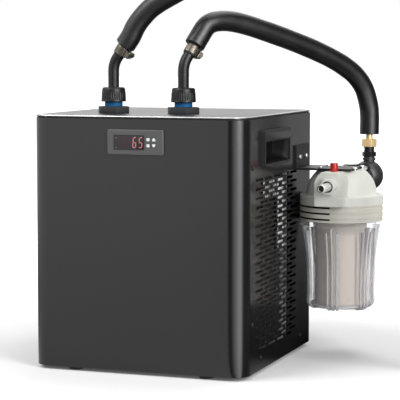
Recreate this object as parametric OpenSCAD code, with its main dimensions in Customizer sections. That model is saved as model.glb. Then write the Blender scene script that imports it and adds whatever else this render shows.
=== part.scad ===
// Ice bath chiller: a cabinet with a refrigeration circuit, two hose unions on top and a
// clear water filter on a bracket at its right side. Millimetres, Z up, front towards -Y.

/* [Cabinet] */
// Width of the cabinet across its side panels
cabinet_w = 310; // [300:1:330]
// Depth of the cabinet from front to rear panel
cabinet_d = 306; // [300:1:330]
// Height of the lid above the floor
cabinet_h = 352; // [345:1:380]
// Outside radius of the two front corners
corner_r = 24; // [16:1:30]
// Thickness of the sheet steel
sheet = 1.5; // [1:0.1:2]
// Height of the rubber feet
foot_h = 5; // [4:0.5:12]
// Radius of the rubber feet
foot_r = 10.5; // [8:0.5:14]
// Height of the lid's turned down rim
lid_rim = 4; // [3:0.5:6]
// Height of the base pan's upturned edge
pan_h = 25; // [22:1:30]

/* [Side vents] */
// Length of one vent slot
slot_w = 31.4; // [24:0.2:33]
// Height of one vent slot
slot_h = 3.6; // [2.4:0.2:4.4]
// Distance between slots along a row
slot_pitch = 39.8; // [38:0.2:42]
// Height of the lowest row above the floor
vent_bottom = 34; // [30:1:60]
// Number of rows
vent_rows = 38; // [10:1:38]

/* [Handles] */
// Length of the handle bezel
handle_w = 118; // [100:1:124]
// Height of the handle bezel
handle_h = 49; // [44:1:52]
// How far the bezel stands proud of the panel
handle_out = 5.5; // [4:0.5:8]
// Depth of the finger pocket behind the panel
pocket_depth = 26; // [20:1:30]

/* [Controller] */
// Width of the controller's bezel
control_w = 81; // [78:1:90]
// Height of the controller's bezel
control_h = 34; // [32:1:40]
// Width of the display window
window_w = 44; // [38:1:45]
// Height of the display window
window_h = 20; // [16:1:22]
// Side of one square key
key_side = 5; // [4:0.2:5.6]
// Travel of a key
key_travel = 0.8; // [0.5:0.1:1.2]

/* [Unions] */
// Circumradius of the hex flange on the lid
flange_r = 22; // [19:0.5:24]
// Height of the hex flange
flange_h = 9; // [7:0.5:12]
// Radius of the bulkhead's thread
thread_r = 13.2; // [12:0.1:14]
// Radius of the elbow's tube
tail_r = 7.75; // [7:0.05:8.5]
// Angle that the elbow leans from upright
lean = 35; // [25:1:42]

/* [Hoses] */
// Diameter of the hose with its foam cover
foam_d = 29; // [27:0.5:29]
// Outside radius of the bare hose
hose_r = 8.8; // [8.6:0.1:9.2]

/* [Filter] */
// Distance of the filter's axis from the side panel
filter_gap = 61; // [61:0.5:68]
// Radius of the filter cap's skirt
cap_r = 60; // [56:0.5:60]
// Height of the bowl's underside above the floor
bowl_z = 67; // [60:1:80]
// Radius of the bowl at its foot
bowl_foot_r = 47; // [44:0.5:48]
// Radius of the bowl under its flange
bowl_top_r = 53; // [51:0.5:54]
// Wall of the bowl
bowl_wall = 3; // [2.5:0.1:4]
// Water gap between the cartridge and the bowl
cartridge_gap = 6; // [5:0.5:10]
// Thickness of the bracket
bracket_t = 3; // [2:0.5:4]
// Width of the bracket
bracket_w = 67; // [60:1:76]

/* [Refrigeration] */
// Radius of the fan
fan_r = 68; // [55:1:70]
// Radius of the compressor shell
compressor_r = 52; // [44:1:54]
// Radius of the chiller tank
tank_r = 46; // [38:1:46]
// Thickness of the condenser
condenser_t = 40; // [30:1:40]

/* [Hidden] */
$fn = 72;

// shared values
over = 1;
seam = 0.4;
clear = 0.3;
half_w = cabinet_w / 2;
half_d = cabinet_d / 2;
wall_top = cabinet_h - lid_rim;
corner_y = corner_r - half_d;
inner_w = half_w - sheet;
floor_z = foot_h + sheet;

// places of the pieces that the cabinet carries
foot_in = 59;
foot_front_in = 16.5;
foot_rear_in = 22;
foot_x = half_w - foot_in;
foot_front_y = foot_front_in - half_d;
foot_rear_y = half_d - foot_rear_in;
flange_strip = 17;
flange_lap = 5;
rear_strip = 14;
screw_head_r = 3;
screw_head_h = 1.6;
screw_r = 1.6;
screw_l = 8;
screw_hole_r = screw_r + clear / 2;
front_screw_in = 8.6;
high_screw_drop = 64.5;
mid_screw_up = 67.5;
low_screw_up = 17;
low_screw_front = 46;
low_screw_rear = 49;
rear_screw_drop = 28;
rear_screw_up = 60;
front_screw_y = corner_y + front_screw_in;
low_screw_z = foot_h + low_screw_up;
side_screws = [
  [front_screw_y, wall_top - high_screw_drop],
  [front_screw_y, foot_h + mid_screw_up],
  [corner_y + low_screw_front, low_screw_z],
  [half_d - low_screw_rear, low_screw_z]
];
rear_screw_x = inner_w - rear_strip / 2;
rear_screws = [
  for (side = [1, -1], z = [wall_top - rear_screw_drop, foot_h + rear_screw_up]) [side * rear_screw_x, z]
];

// vents
vent_y = -11;
vent_drop = 82;
vent_top = wall_top - vent_drop;
row_pitch = (vent_top - vent_bottom) / (vent_rows - 1);
slots_wide = 5;
rear_slots = 3;
rear_vent_x = -70;
rear_rows = 12;

// handles
handle_y = -23;
handle_drop = 40.5;
handle_z = wall_top - handle_drop;
handle_corner = 5;
handle_rim = 3;
handle_band = 14;
hood_out = 4;
hood_tip = 2;
hood_in = 5.4;
hood_inset = 4;
pocket_wall = 2;
mouth_w = handle_w - 2 * handle_rim;
mouth_z0 = handle_z - handle_h / 2 + handle_rim;
mouth_z1 = handle_z + handle_h / 2 - handle_band;
pocket_y0 = handle_y - mouth_w / 2 - pocket_wall;
pocket_z0 = mouth_z0 - pocket_wall;
pocket_z1 = mouth_z1 + pocket_wall;
pocket_x = half_w - pocket_depth;
handle_face = half_w + handle_out;

// controller
control_x = 1;
control_drop = 35;
control_z = cabinet_h - control_drop;
control_out = 3.5;
control_corner = 2;
control_body_w = 71;
control_body_h = 29;
control_body_d = 58;
control_face = -half_d - control_out;
window_left = 9;
window_drop = 0.4;
window_x = control_x - window_left;
window_z = control_z - window_drop;
window_t = 1.6;
window_sunk = 0.3;
key_right = 23;
key_x = control_x + key_right;
key_step = 8.2;
key_out = 0.6;
key_t = 3.4;
key_room = 1.4;
key_pocket = key_t - key_out + key_travel + key_room;
key_columns = [-1, 1];
clip_t = 5;
clip_l = 14;
clip_h = 16;

// unions
union_in = 102;
left_in = 81;
union_apart = 105;
union_y = union_in - half_d;
left_x = left_in - half_w;
right_x = left_x + union_apart;
flange_top = cabinet_h + flange_h;
spigot_r = 11;
spigot_h = 15;
bulkhead_drop = 22;
lock_nut_r = 20.5;
lock_nut_h = 9;
water_bore = 6;
ring_r = 12;
ring_h = 6.2;
nut_z = flange_top + ring_h + clear;
nut_h = 20.5;
nut_r = 15.8;
nut_flare = 17.6;
nut_flare_h = 2.6;
nut_shoulder_r = 15.2;
nut_shoulder_h = 7;
nut_round = 2.2;
nut_ribs = 24;
rib_w = 1.6;
rib_out = 0.8;
collar_gap = 0.2;
collar_r = spigot_r - collar_gap;
collar_h = 3.4;
washer_h = 1.5;
tail_z = flange_top + spigot_h;
washer_z = tail_z + collar_h + clear;
lip_z = washer_z + washer_h + clear;
tail_bore = 4.6;
elbow_up = 69;
axis_z = cabinet_h + elbow_up;
barb_r = 6.3;
barb_fit = 0.1;
hose_bore = barb_r + barb_fit;
hose_from = 15;
clamp_from = 17;
clamp_w = 12;
clamp_t = 0.8;
foam_from = 31;
clamp_house = [15, 6.5, 10];
clamp_screw_r = 3.4;
clamp_screw_l = 19;

// water filter
filter_x = half_w + filter_gap;
filter_in = 46;
filter_y = half_d - filter_in;
cap_drop = 84.3;
cap_top = cabinet_h - cap_drop;
bracket_z = cap_top + clear;
bracket_drop = 35;
bracket_reach = 83.5;
wall_screw_y = 16;
wall_screw_z = 17.5;
cap_screw_x = 25.5;
cap_screw_y = 21;
ledge_w = 9;
slope_in = 3.5;
flat_in = 16.5;
slope_drop = 18;
ledge_drop = 35.5;
ceiling_drop = 43;
skirt_drop = 72.5;
skirt_wall = 4.7;
cap_neck_r = cap_r - ledge_w;
cap_slope_r = cap_neck_r - slope_in;
cap_flat_r = cap_neck_r - flat_in;
cap_slope_z = cap_top - slope_drop;
ledge_z = cap_top - ledge_drop;
skirt_z = cap_top - skirt_drop;
skirt_bore = cap_r - skirt_wall;
ceiling_z = cap_top - ceiling_drop;
groove_depth = 1.4;
groove_r = cap_r - groove_depth;
groove_h = 1.8;
groove_step = 8.4;
groove_drop = 15.6;
groove_first = ledge_z - groove_drop;
grip_depth = 3.2;
grip_from = -118;
grip_to = -196;
port_drop = 19.5;
port_z = cap_top - port_drop;
boss_proud = 10;
boss_out = cap_r + boss_proud;
boss_r = 21;
boss_drop = 48;
boss_z = cap_top - boss_drop;
boss_neck = 17.5;
port_r = 7.5;
drop_r = 4.5;
drop_in = 16.5;
drop_at = cap_r - drop_in;
nipple_r = 12;
nipple_h = 10;
relief_y = 41;
relief_r = 5.5;
relief_collar = 7;
relief_out = 12.2;
relief_pocket = 7;
relief_gap = 2;
seal_r = 1.9;
seal_in = 3.9;
rim_gap = 0.4;
flange_gap = 0.5;
bowl_rim_r = skirt_bore - rim_gap;
seal_at = bowl_rim_r - seal_in;
bowl_flange_r = cap_r - rim_gap;
bowl_flange_top = skirt_z - flange_gap;
bowl_flange_h = 7.5;
bowl_taper = 8;
bowl_rim = ceiling_z - 2 * seal_r - 2 * clear;
bowl_foot_round = 9;
bowl_ribs = 12;
bowl_rib_t = 2.4;
bowl_rib_out = 2;
rib_up = 14;
rib_under = 6;
bowl_rib_z0 = bowl_z + rib_up;
bowl_rib_z1 = bowl_flange_top - bowl_flange_h - rib_under;
stand_h = 2.2;
stand_r = 20;
cartridge_r = bowl_foot_r - bowl_wall - cartridge_gap;
cartridge_z = bowl_z + bowl_wall + stand_h;
cartridge_drop = 6;
cartridge_top = ceiling_z - cartridge_drop;
cartridge_bore = nipple_r + rim_gap;
inlet_hex_r = 12.8;
inlet_hex_h = 8;
inlet_tube_r = 5.9;
inlet_l = 42;
inlet_bore = 3.9;
inlet_recess_r = 8.2;
inlet_recess = 4;
spigot_in = 13;
spigot_fit = 0.1;
seal_fit = 0.05;
end_cap_h = 4;
media_in = 1.5;
bolt_head_r = 3.6;
bolt_head_h = 2;
bolt_l = 10;

// outlet valve and the fittings on it
valve_right = 16;
valve_back = 98;
valve_x = filter_x + valve_right;
valve_y = filter_y + valve_back;
bulb_r = 23;
bulb_up = 4;
bulb_left = 1.5;
bulb_z = port_z + bulb_up;
bulb_x = valve_x - bulb_left;
valve_collar_r = 9.5;
riser_r = 8.2;
riser_up = 13.3;
riser_top = cap_top + riser_up;
ball_up = 17;
ball_z = port_z + ball_up;
ball_r = 7;
flow_r = 3.8;
channel_r = 4.4;
stem_r = 1.9;
lever_front = 19.5;
lever_y = valve_y - lever_front;
lever_t = 4;
lever_l = 34;
lever_w = 8;
lever_drop = 5;
lever_hub_r = 5;
lever_screw_r = 3.5;
lever_screw_h = 2.4;
swivel_hex_r = 10.8;
swivel_hex_h = 7;
swivel_neck_r = 7.6;
swivel_neck_h = 7.5;
brass_hex_r = 11.5;
brass_hex_h = 11.5;
brass_neck_r = 4.95;
brass_neck_h = 7.5;
fitting_bore = 3.6;
swivel_z = riser_top;
brass_z = swivel_z + swivel_hex_h + swivel_neck_h;
foam_end_z = brass_z + brass_hex_h + brass_neck_h;

// free hoses: the routes' points are chosen by hand, as shares of a run and of a height
hose_sides = 12;
coil_sides = 6;
run_steps = 3;
coil_z = foam_d / 2 + clear;
leg_out = 451;
leg_x = left_x + leg_out;
coil_bend = 116;
coil_r = 150;
coil_apart = 9;
coil_pitch = foam_d + coil_apart;
coil_y = union_y + coil_bend + foam_d;
coil_x = leg_x + coil_r;
loop_rings = 24;
connector_l = 30;
connector_r = 8;
connector_flange_r = 11;
connector_flange_h = 5;
connector_bore = 5;
connector_depth = 24;
coil_tail = [[-108, 30], [-94, 58], [-70, 77], [-40, 84], [-25, 84], [-11, 84]];
hose_run = sqrt(pow(valve_x - right_x, 2) + pow(valve_y - union_y, 2));
hose_turn = atan2(valve_y - union_y, valve_x - right_x);
filter_shares = [
  [0.1229, 0.507], [0.1905, 0.5587], [0.2827, 0.5352], [0.4178, 0.4319], [0.5776, 0.2864],
  [0.7159, 0.1408], [0.8295, -0.0094], [0.9125, -0.169], [0.9663, -0.3568], [0.9924, -0.5728]
];
outlet_shares = [
  [0.0754, 0.325], [0.102, 0.4188], [0.1419, 0.5125], [0.2217, 0.6312], [0.3104, 0.75],
  [0.4213, 0.8625], [0.5322, 0.9375], [0.643, 0.9875], [0.7428, 1], [0.8714, 0.9031],
  [0.9656, 0.6375], [1, 0.275], [1, -0.1313], [1, -0.7562], [1, -1.3813]
];
arch_rise = 160;
hose_fall = axis_z - foam_end_z;

// inside the cabinet
shroud_in = 59;
shroud_rim_in = 8;
shroud_front_in = 41;
shroud_rear_in = 93;
core_drop = 78;
core_up = 25;
shroud_over = 8;
core_z0 = foot_h + core_up;
core_z1 = wall_top - core_drop;
shroud_x = half_w - shroud_in;
shroud_out = half_w - shroud_rim_in;
shroud_y0 = shroud_front_in - half_d;
shroud_y1 = half_d - shroud_rear_in;
shroud_top = core_z1 + shroud_over;
fan_y = (shroud_y0 + shroud_y1) / 2;
fan_z = (core_z0 + core_z1) / 2;
orifice_gap = 4;
orifice_r = fan_r + orifice_gap;
motor_r = 34;
motor_l = 36;
bar_t = 3;
bar_h = 16;
leg_t = 4;
leg_gap = 5;
leg_at = orifice_r + leg_gap;
bar_in = 30;
bar_x = shroud_x - bar_in;
shaft_r = 3;
fan_gap = 5;
fan_x0 = bar_x + bar_t + fan_gap;
fan_l = 20;
hub_r = 20;
blades = 7;
blade_t = 1.8;
blade_pitch = 32;
blade_w = 24;
fin_pitch = 8;
fin_t = 1.6;
condenser_x = shroud_x + sheet;
fin_out = 2.5;
tank_in = 65;
tank_front_in = 68;
tank_x = tank_in - half_w;
tank_y = tank_front_in - half_d;
tank_z1 = core_z1;
tank_foot_h = 12;
tank_cap = 8;
tank_port_r = 9;
comp_in = 85;
comp_rear_in = 77.5;
comp_x = comp_in - half_w;
comp_y = half_d - comp_rear_in;
mount_h = 10;
mount_r = 8;
mount_at = 52;
plate_t = 3;
shell_h = 125;
shell_dome = 16;
dome_r = (pow(compressor_r, 2) + pow(shell_dome, 2)) / (2 * shell_dome);
comp_z = floor_z + mount_h;
comp_top = comp_z + plate_t + shell_h;
pipe_r = 7;
bulkhead_end = cabinet_h - bulkhead_drop;
upper_drop = 16;
lower_drop = 34;
upper_run = bulkhead_end - upper_drop;
lower_run = bulkhead_end - lower_drop;
port_a_at = [-20, 15];
port_b_at = [28, 0];
port_a = [tank_x, tank_y] + port_a_at;
port_b = [tank_x, tank_y] + port_b_at;
copper_r = 4;
hot_drop = 65;
hot_z = core_z1 - hot_drop;
liquid_up = 50;
liquid_z = core_z0 + liquid_up;
hot_right = 12;
suction_left = 20;
hot_x = comp_x + hot_right;
suction_x = comp_x - suction_left;
suction_drop = 30;
suction_z = core_z1 - suction_drop;
drier_r = 10;
drier_l = 60;
liquid_right = 70;
liquid_x = comp_x + liquid_right;
box_size = [100, 42, 90];
box_x = -20;
box_drop = 133;
box_z = wall_top - box_drop;
box_wall = 2;
inlet_in = 65;
inlet_x = half_w - inlet_in;
inlet_z = 70;
inlet_w = 48;
inlet_h = 30;
inlet_t = 3;
inlet_body = [28, 26, 22];
socket_size = [23, 18, 17];
pin_size = [2, 14, 4];
pin_x = 7;
pin_up = 3;

// the origin is under the middle of the rigid object's box
origin_x = (filter_x + cap_r - handle_face - hood_out) / 2;
origin_y = (valve_y + bulb_r + control_face - key_out) / 2;

module place() translate([-origin_x, -origin_y, 0]) children();

// a box between two opposite corners
module box(a, b) translate(a) cube(b - a);

module rod_x(a, r, l) translate(a) rotate([0, 90, 0]) cylinder(r = r, h = l);

module rod_y(a, r, l) translate(a) rotate([-90, 0, 0]) cylinder(r = r, h = l);

module rod_z(a, r, l) translate(a) cylinder(r = r, h = l);

module hex_z(a, r, l) translate(a) cylinder(r = r, h = l, $fn = 6);

module round_rect(w, h, r) {
  square([w - 2 * r, h], center = true);
  square([w, h - 2 * r], center = true);
  for (i = [-1, 1], j = [-1, 1]) translate([i * (w / 2 - r), j * (h / 2 - r)]) circle(r = r);
}

// the cabinet's outline from above, drawn in by the given amount
module plan(in) {
  translate([-half_w + in, corner_y]) square([cabinet_w - 2 * in, half_d - corner_y - in]);
  translate([-half_w + corner_r, -half_d + in]) square([cabinet_w - 2 * corner_r, corner_r]);
  for (side = [-1, 1]) translate([side * (half_w - corner_r), corner_y]) circle(r = corner_r - in);
}

// a rod along a list of points, with a slightly larger ball at each turn
module bent_rod(points, r) {
  for (i = [0 : len(points) - 2]) {
    d = points[i + 1] - points[i];
    l = norm(d);
    translate(points[i]) rotate([0, acos(d.z / l), atan2(d.y, d.x)]) cylinder(r = r, h = l);
  }
  for (i = [1 : len(points) - 2]) translate(points[i]) sphere(r = r + seam);
}

// Cabinet

module base_pan() color("dimgray") place() difference() {
  translate([0, 0, foot_h]) linear_extrude(pan_h) plan(sheet);
  translate([0, 0, floor_z]) linear_extrude(pan_h) plan(2 * sheet);
  for (side = [-1, 1], s = side_screws) if (s[1] < foot_h + pan_h)
    rod_x([side * half_w - screw_l, s[0], s[1]], screw_hole_r, 2 * screw_l);
}

module feet() color("black") place()
  for (x = [-foot_x, foot_x], y = [foot_front_y, foot_rear_y]) rod_z([x, y, 0], foot_r, foot_h);

module front_cover() color([0.24, 0.24, 0.25]) place() difference() {
  union() {
    translate([0, 0, foot_h]) linear_extrude(wall_top - foot_h) difference() {
      plan(0);
      plan(sheet);
      translate([-half_w - over, corner_y]) square([cabinet_w + 2 * over, cabinet_d]);
    }
    for (side = [-1, 1]) translate([side * (inner_w - sheet / 2), corner_y + (flange_strip - flange_lap) / 2])
      translate([0, 0, foot_h + pan_h + over]) linear_extrude(wall_top - foot_h - pan_h - over)
        square([sheet, flange_strip + flange_lap], center = true);
  }
  translate([control_x, 0, control_z]) rotate([90, 0, 0]) linear_extrude(half_d + over)
    square([control_body_w + 2 * clear, control_body_h + 2 * clear], center = true);
  for (side = [-1, 1], s = side_screws)
    rod_x([side * half_w - screw_l, s[0], s[1]], screw_hole_r, 2 * screw_l);
}

module top_cover() color([0.34, 0.34, 0.35]) place() difference() {
  translate([0, 0, wall_top]) linear_extrude(lid_rim) plan(0);
  translate([0, 0, wall_top - over]) linear_extrude(lid_rim - sheet + over) plan(sheet);
  for (x = [left_x, right_x]) rod_z([x, union_y, wall_top], thread_r + clear, lid_rim + over);
}

module vents(rows, columns, middle) {
  for (row = [0 : rows - 1]) {
    slots = columns - row % 2;
    for (i = [0 : slots - 1])
      translate([middle + (i - (slots - 1) / 2) * slot_pitch, vent_top - row * row_pitch])
        square([slot_w, slot_h], center = true);
  }
}

module side_panel() {
  translate([inner_w, 0, 0]) rotate([90, 0, 90]) linear_extrude(sheet) difference() {
    translate([corner_y + seam, foot_h]) square([half_d - corner_y - seam, wall_top - foot_h]);
    vents(vent_rows, slots_wide, vent_y);
    translate([pocket_y0, pocket_z0] - [clear, clear])
      square([mouth_w + 2 * pocket_wall, pocket_z1 - pocket_z0] + 2 * [clear, clear]);
    for (s = side_screws) translate(s) circle(r = screw_hole_r);
    for (y = [-wall_screw_y, wall_screw_y])
      translate([filter_y + y, bracket_z + wall_screw_z]) circle(r = screw_hole_r);
  }
  difference() {
    box(
      [inner_w - rear_strip, half_d - 2 * sheet, foot_h + pan_h + over],
      [inner_w, half_d - sheet, wall_top]
    );
    for (s = rear_screws) rod_y([s[0], half_d - screw_l, s[1]], screw_hole_r, 2 * screw_l);
  }
}

module right_panel() color([0.27, 0.27, 0.28]) place() side_panel();

module left_panel() color([0.27, 0.27, 0.28]) place() mirror([1, 0, 0]) side_panel();

module rear_panel() color([0.27, 0.27, 0.28]) place()
  translate([0, half_d, 0]) rotate([90, 0, 0]) linear_extrude(sheet) difference() {
    translate([-inner_w, foot_h]) square([2 * inner_w, wall_top - foot_h]);
    vents(rear_rows, rear_slots, rear_vent_x);
    for (s = rear_screws) translate(s) circle(r = screw_hole_r);
    translate([inlet_x, inlet_z])
      square([inlet_body[0] + 2 * clear, inlet_body[2] + 2 * clear], center = true);
  }

module panel_screws() color("black") place() {
  for (side = [-1, 1], s = side_screws) mirror([side < 0 ? 1 : 0, 0, 0]) {
    rod_x([half_w, s[0], s[1]], screw_head_r, screw_head_h);
    rod_x([half_w - screw_l, s[0], s[1]], screw_r, screw_l);
  }
  for (s = rear_screws) {
    rod_y([s[0], half_d, s[1]], screw_head_r, screw_head_h);
    rod_y([s[0], half_d - screw_l, s[1]], screw_r, screw_l);
  }
}

module handle() difference() {
  union() {
    translate([half_w, handle_y, handle_z]) rotate([90, 0, 90]) linear_extrude(handle_out)
      round_rect(handle_w, handle_h, handle_corner);
    box(
      [pocket_x, pocket_y0, pocket_z0],
      [half_w + over, pocket_y0 + mouth_w + 2 * pocket_wall, pocket_z1]
    );
    translate([0, handle_y + handle_w / 2 - hood_inset, 0]) rotate([90, 0, 0])
      linear_extrude(handle_w - 2 * hood_inset) polygon([
        [handle_face - over, handle_z + handle_h / 2 - handle_rim],
        [handle_face, handle_z + handle_h / 2 - handle_rim],
        [handle_face + hood_out, mouth_z1 + hood_tip],
        [handle_face + hood_out, mouth_z1],
        [handle_face - hood_in, mouth_z1 - hood_tip],
        [handle_face - hood_in, mouth_z1 + hood_tip]
      ]);
  }
  box(
    [pocket_x + pocket_wall, handle_y - mouth_w / 2, mouth_z0],
    [handle_face - hood_in, handle_y + mouth_w / 2, mouth_z1]
  );
  box(
    [handle_face - hood_in - over, handle_y - mouth_w / 2, mouth_z0],
    [handle_face + hood_out + over, handle_y + mouth_w / 2, mouth_z1 - hood_tip]
  );
}

module handle_right() color([0.2, 0.2, 0.21]) place() handle();

module handle_left() color([0.2, 0.2, 0.21]) place() mirror([1, 0, 0]) handle();

// Controller

module controller_case() color([0.36, 0.37, 0.38]) place() difference() {
  union() {
    translate([control_x, -half_d, control_z]) rotate([90, 0, 0]) linear_extrude(control_out)
      round_rect(control_w, control_h, control_corner);
    translate([control_x, control_body_d - half_d, control_z]) rotate([90, 0, 0])
      linear_extrude(control_body_d + over) square([control_body_w, control_body_h], center = true);
  }
  translate([window_x, control_face + window_t + window_sunk, window_z]) rotate([90, 0, 0])
    linear_extrude(window_t + window_sunk + over) square([window_w + clear, window_h + clear], center = true);
  for (i = key_columns, j = key_columns)
    translate([key_x + i * key_step / 2, control_face + key_pocket, control_z + j * key_step / 2])
      rotate([90, 0, 0]) linear_extrude(key_pocket + over)
        square([key_side + 2 * clear, key_side + 2 * clear], center = true);
}

module controller_clips() color("dimgray") place() for (side = [-1, 1])
  translate([control_x + side * (control_body_w + clip_t) / 2, sheet + clip_l - half_d, control_z])
    rotate([90, 0, 0]) linear_extrude(clip_l) square([clip_t, clip_h], center = true);

module display_window() color([0.1, 0.1, 0.12]) place()
  translate([window_x, control_face + window_t + window_sunk, window_z]) rotate([90, 0, 0])
    linear_extrude(window_t) square([window_w, window_h], center = true);

// a key at its column and row, -1 or 1
module key(column, row) color("white") place()
  translate([key_x + column * key_step / 2, control_face - key_out + key_t, control_z + row * key_step / 2])
    rotate([90, 0, 0]) linear_extrude(key_t) round_rect(key_side, key_side, key_out);

module key_set() key(-1, 1);

module key_up() key(1, 1);

module key_power() key(-1, -1);

module key_down() key(1, -1);

// Unions on the lid

module bulkhead(x) color([0.13, 0.13, 0.14]) place() translate([x, union_y, 0]) difference() {
  union() {
    hex_z([0, 0, cabinet_h], flange_r, flange_h);
    rod_z([0, 0, bulkhead_end], thread_r, cabinet_h - bulkhead_end + over);
    rod_z([0, 0, flange_top - over], spigot_r, spigot_h + over);
  }
  rod_z([0, 0, bulkhead_end - over], water_bore, flange_top + spigot_h - bulkhead_end + 2 * over);
}

module bulkhead_left() bulkhead(left_x);

module bulkhead_right() bulkhead(right_x);

module lock_nuts() color([0.13, 0.13, 0.14]) place() for (x = [left_x, right_x])
  translate([x, union_y, cabinet_h - sheet - lock_nut_h]) difference() {
    hex_z([0, 0, 0], lock_nut_r, lock_nut_h);
    rod_z([0, 0, -over], thread_r + seal_fit, lock_nut_h + 2 * over);
  }

module seal_ring(x) color([0.05, 0.33, 0.6]) place() translate([x, union_y, flange_top])
  difference() {
    rod_z([0, 0, 0], ring_r, ring_h);
    rod_z([0, 0, -over], spigot_r + seal_fit, ring_h + 2 * over);
  }

module seal_ring_left() seal_ring(left_x);

module seal_ring_right() seal_ring(right_x);

module slip_washer(x) color("gainsboro") place() translate([x, union_y, washer_z]) difference() {
  rod_z([0, 0, 0], collar_r, washer_h);
  rod_z([0, 0, -over], tail_r + clear, washer_h + 2 * over);
}

module slip_washer_left() slip_washer(left_x);

module slip_washer_right() slip_washer(right_x);

module union_nut(x) color([0.13, 0.13, 0.14]) place() translate([x, union_y, 0]) difference() {
  union() {
    rotate_extrude() polygon([
      [0, nut_z], [nut_flare, nut_z], [nut_flare, nut_z + nut_flare_h],
      [nut_r, nut_z + nut_flare_h + rib_out], [nut_r, nut_z + nut_h - nut_shoulder_h],
      [nut_shoulder_r, nut_z + nut_h - nut_shoulder_h + rib_out],
      [nut_shoulder_r, nut_z + nut_h - nut_round],
      [nut_shoulder_r - nut_round, nut_z + nut_h], [0, nut_z + nut_h]
    ]);
    for (i = [0 : nut_ribs - 1]) rotate([0, 0, i * 360 / nut_ribs])
      box([nut_r - rib_w, -rib_w / 2, nut_z], [nut_r + rib_out, rib_w / 2, nut_z + nut_h - nut_shoulder_h]);
  }
  rod_z([0, 0, nut_z - over], spigot_r + clear, lip_z - nut_z + over);
  rod_z([0, 0, nut_z], tail_r + clear, nut_h + over);
}

module union_nut_left() union_nut(left_x);

module union_nut_right() union_nut(right_x);

// moves its children from upright at the elbow's corner to the leaning hose end
module leaning() translate([0, 0, axis_z]) rotate([0, lean, 0]) children();

module elbow_tail(x, turn) color([0.1, 0.1, 0.11]) place() translate([x, union_y, 0])
  rotate([0, 0, turn]) difference() {
    union() {
      rod_z([0, 0, tail_z], collar_r, collar_h);
      rod_z([0, 0, tail_z], tail_r, axis_z - tail_z);
      translate([0, 0, axis_z]) sphere(r = tail_r + seam);
      leaning() rod_z([0, 0, 0], tail_r, hose_from);
      leaning() rod_z([0, 0, 0], barb_r, foam_from - clear);
    }
    rod_z([0, 0, tail_z - over], tail_bore, axis_z - tail_z + over);
    translate([0, 0, axis_z]) sphere(r = tail_bore + seam);
    leaning() rod_z([0, 0, 0], tail_bore, foam_from + over);
  }

module elbow_tail_left() elbow_tail(left_x, 0);

module elbow_tail_right() elbow_tail(right_x, hose_turn);

// places its children at a union, turned to its hose's run and leaning along the elbow
module at_hose(x, turn) place() translate([x, union_y, 0]) rotate([0, 0, turn]) leaning() children();

module hose_end() difference() {
  rod_z([0, 0, hose_from], hose_r, foam_from - hose_from);
  rod_z([0, 0, hose_from - over], hose_bore, foam_from - hose_from + 2 * over);
}

module hose_ends() color([0.16, 0.16, 0.17]) {
  at_hose(left_x, 0) hose_end();
  at_hose(right_x, hose_turn) hose_end();
}

module hose_clamp() {
  difference() {
    rod_z([0, 0, clamp_from], hose_r + clamp_t, clamp_w);
    rod_z([0, 0, clamp_from - over], hose_r + seal_fit, clamp_w + 2 * over);
  }
  translate([hose_r + clamp_t + clamp_house[1] / 2, 0, clamp_from + clamp_w / 2]) {
    translate([-seam, 0, 0]) cube([clamp_house[1], clamp_house[0], clamp_house[2]], center = true);
    rod_y([0, -clamp_house[0] / 2 - seam, 0], clamp_screw_r, clamp_screw_l);
  }
}

module hose_clamp_left() color("silver") at_hose(left_x, 0) hose_clamp();

module hose_clamp_right() color("silver") at_hose(right_x, hose_turn) hose_clamp();

// Free hoses

// the point at a distance along the leaning elbow, as run and height
function lean_at(t) = [t * sin(lean), axis_z + t * cos(lean)];

// a smooth curve through points, with the given steps to each stretch
function smooth(p, steps) = [
  for (i = [0 : len(p) - 2], k = [0 : steps - 1])
    let (a = p[max(i - 1, 0)], b = p[i], c = p[i + 1], d = p[min(i + 2, len(p) - 1)], t = k / steps)
      (2 * b + (c - a) * t + (2 * a - 5 * b + 4 * c - d) * t * t + (3 * b - a - 3 * c + d) * t * t * t) / 2,
  p[len(p) - 1]
];

function unit(v) = v / norm(v);

function heading(p, i) = unit(p[min(i + 1, len(p) - 1)] - p[max(i - 1, 0)]);

// rings of points round a path, then triangles that join them into a closed tube
module tube(path, r, sides, side_ref, first, last) {
  n = len(path);
  points = [
    for (i = [0 : n - 1])
      let (t = i == 0 ? first : i == n - 1 ? last : heading(path, i))
      let (u = unit(cross(side_ref, t)), v = cross(t, u))
        for (k = [0 : sides - 1]) path[i] + r * (cos(k * 360 / sides) * u + sin(k * 360 / sides) * v),
    path[0],
    path[n - 1]
  ];
  faces = [
    for (i = [0 : n - 2], k = [0 : sides - 1])
      let (a = i * sides + k, b = i * sides + (k + 1) % sides)
        each [[a, a + sides, b], [b, a + sides, b + sides]],
    for (k = [0 : sides - 1]) [n * sides, k, (k + 1) % sides],
    for (k = [0 : sides - 1]) [n * sides + 1, (n - 1) * sides + (k + 1) % sides, (n - 1) * sides + k]
  ];
  polyhedron(points = points, faces = faces);
}

filter_plan = concat(
  [lean_at(foam_from), lean_at(foam_from + foam_d / 2)],
  [for (q = filter_shares) [q[0] * hose_run, axis_z + q[1] * hose_fall]],
  [[hose_run, foam_end_z + foam_d], [hose_run, foam_end_z]]
);

module filter_hose() color([0.09, 0.09, 0.1]) place() translate([right_x, union_y, 0]) tube(
  [for (q = smooth(filter_plan, run_steps)) [q[0] * cos(hose_turn), q[0] * sin(hose_turn), q[1]]],
  foam_d / 2, hose_sides, [-sin(hose_turn), cos(hose_turn), 0],
  [sin(lean) * cos(hose_turn), sin(lean) * sin(hose_turn), cos(lean)], [0, 0, -1]
);

coil_start = [leg_x, coil_y - foam_d, coil_z];

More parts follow.
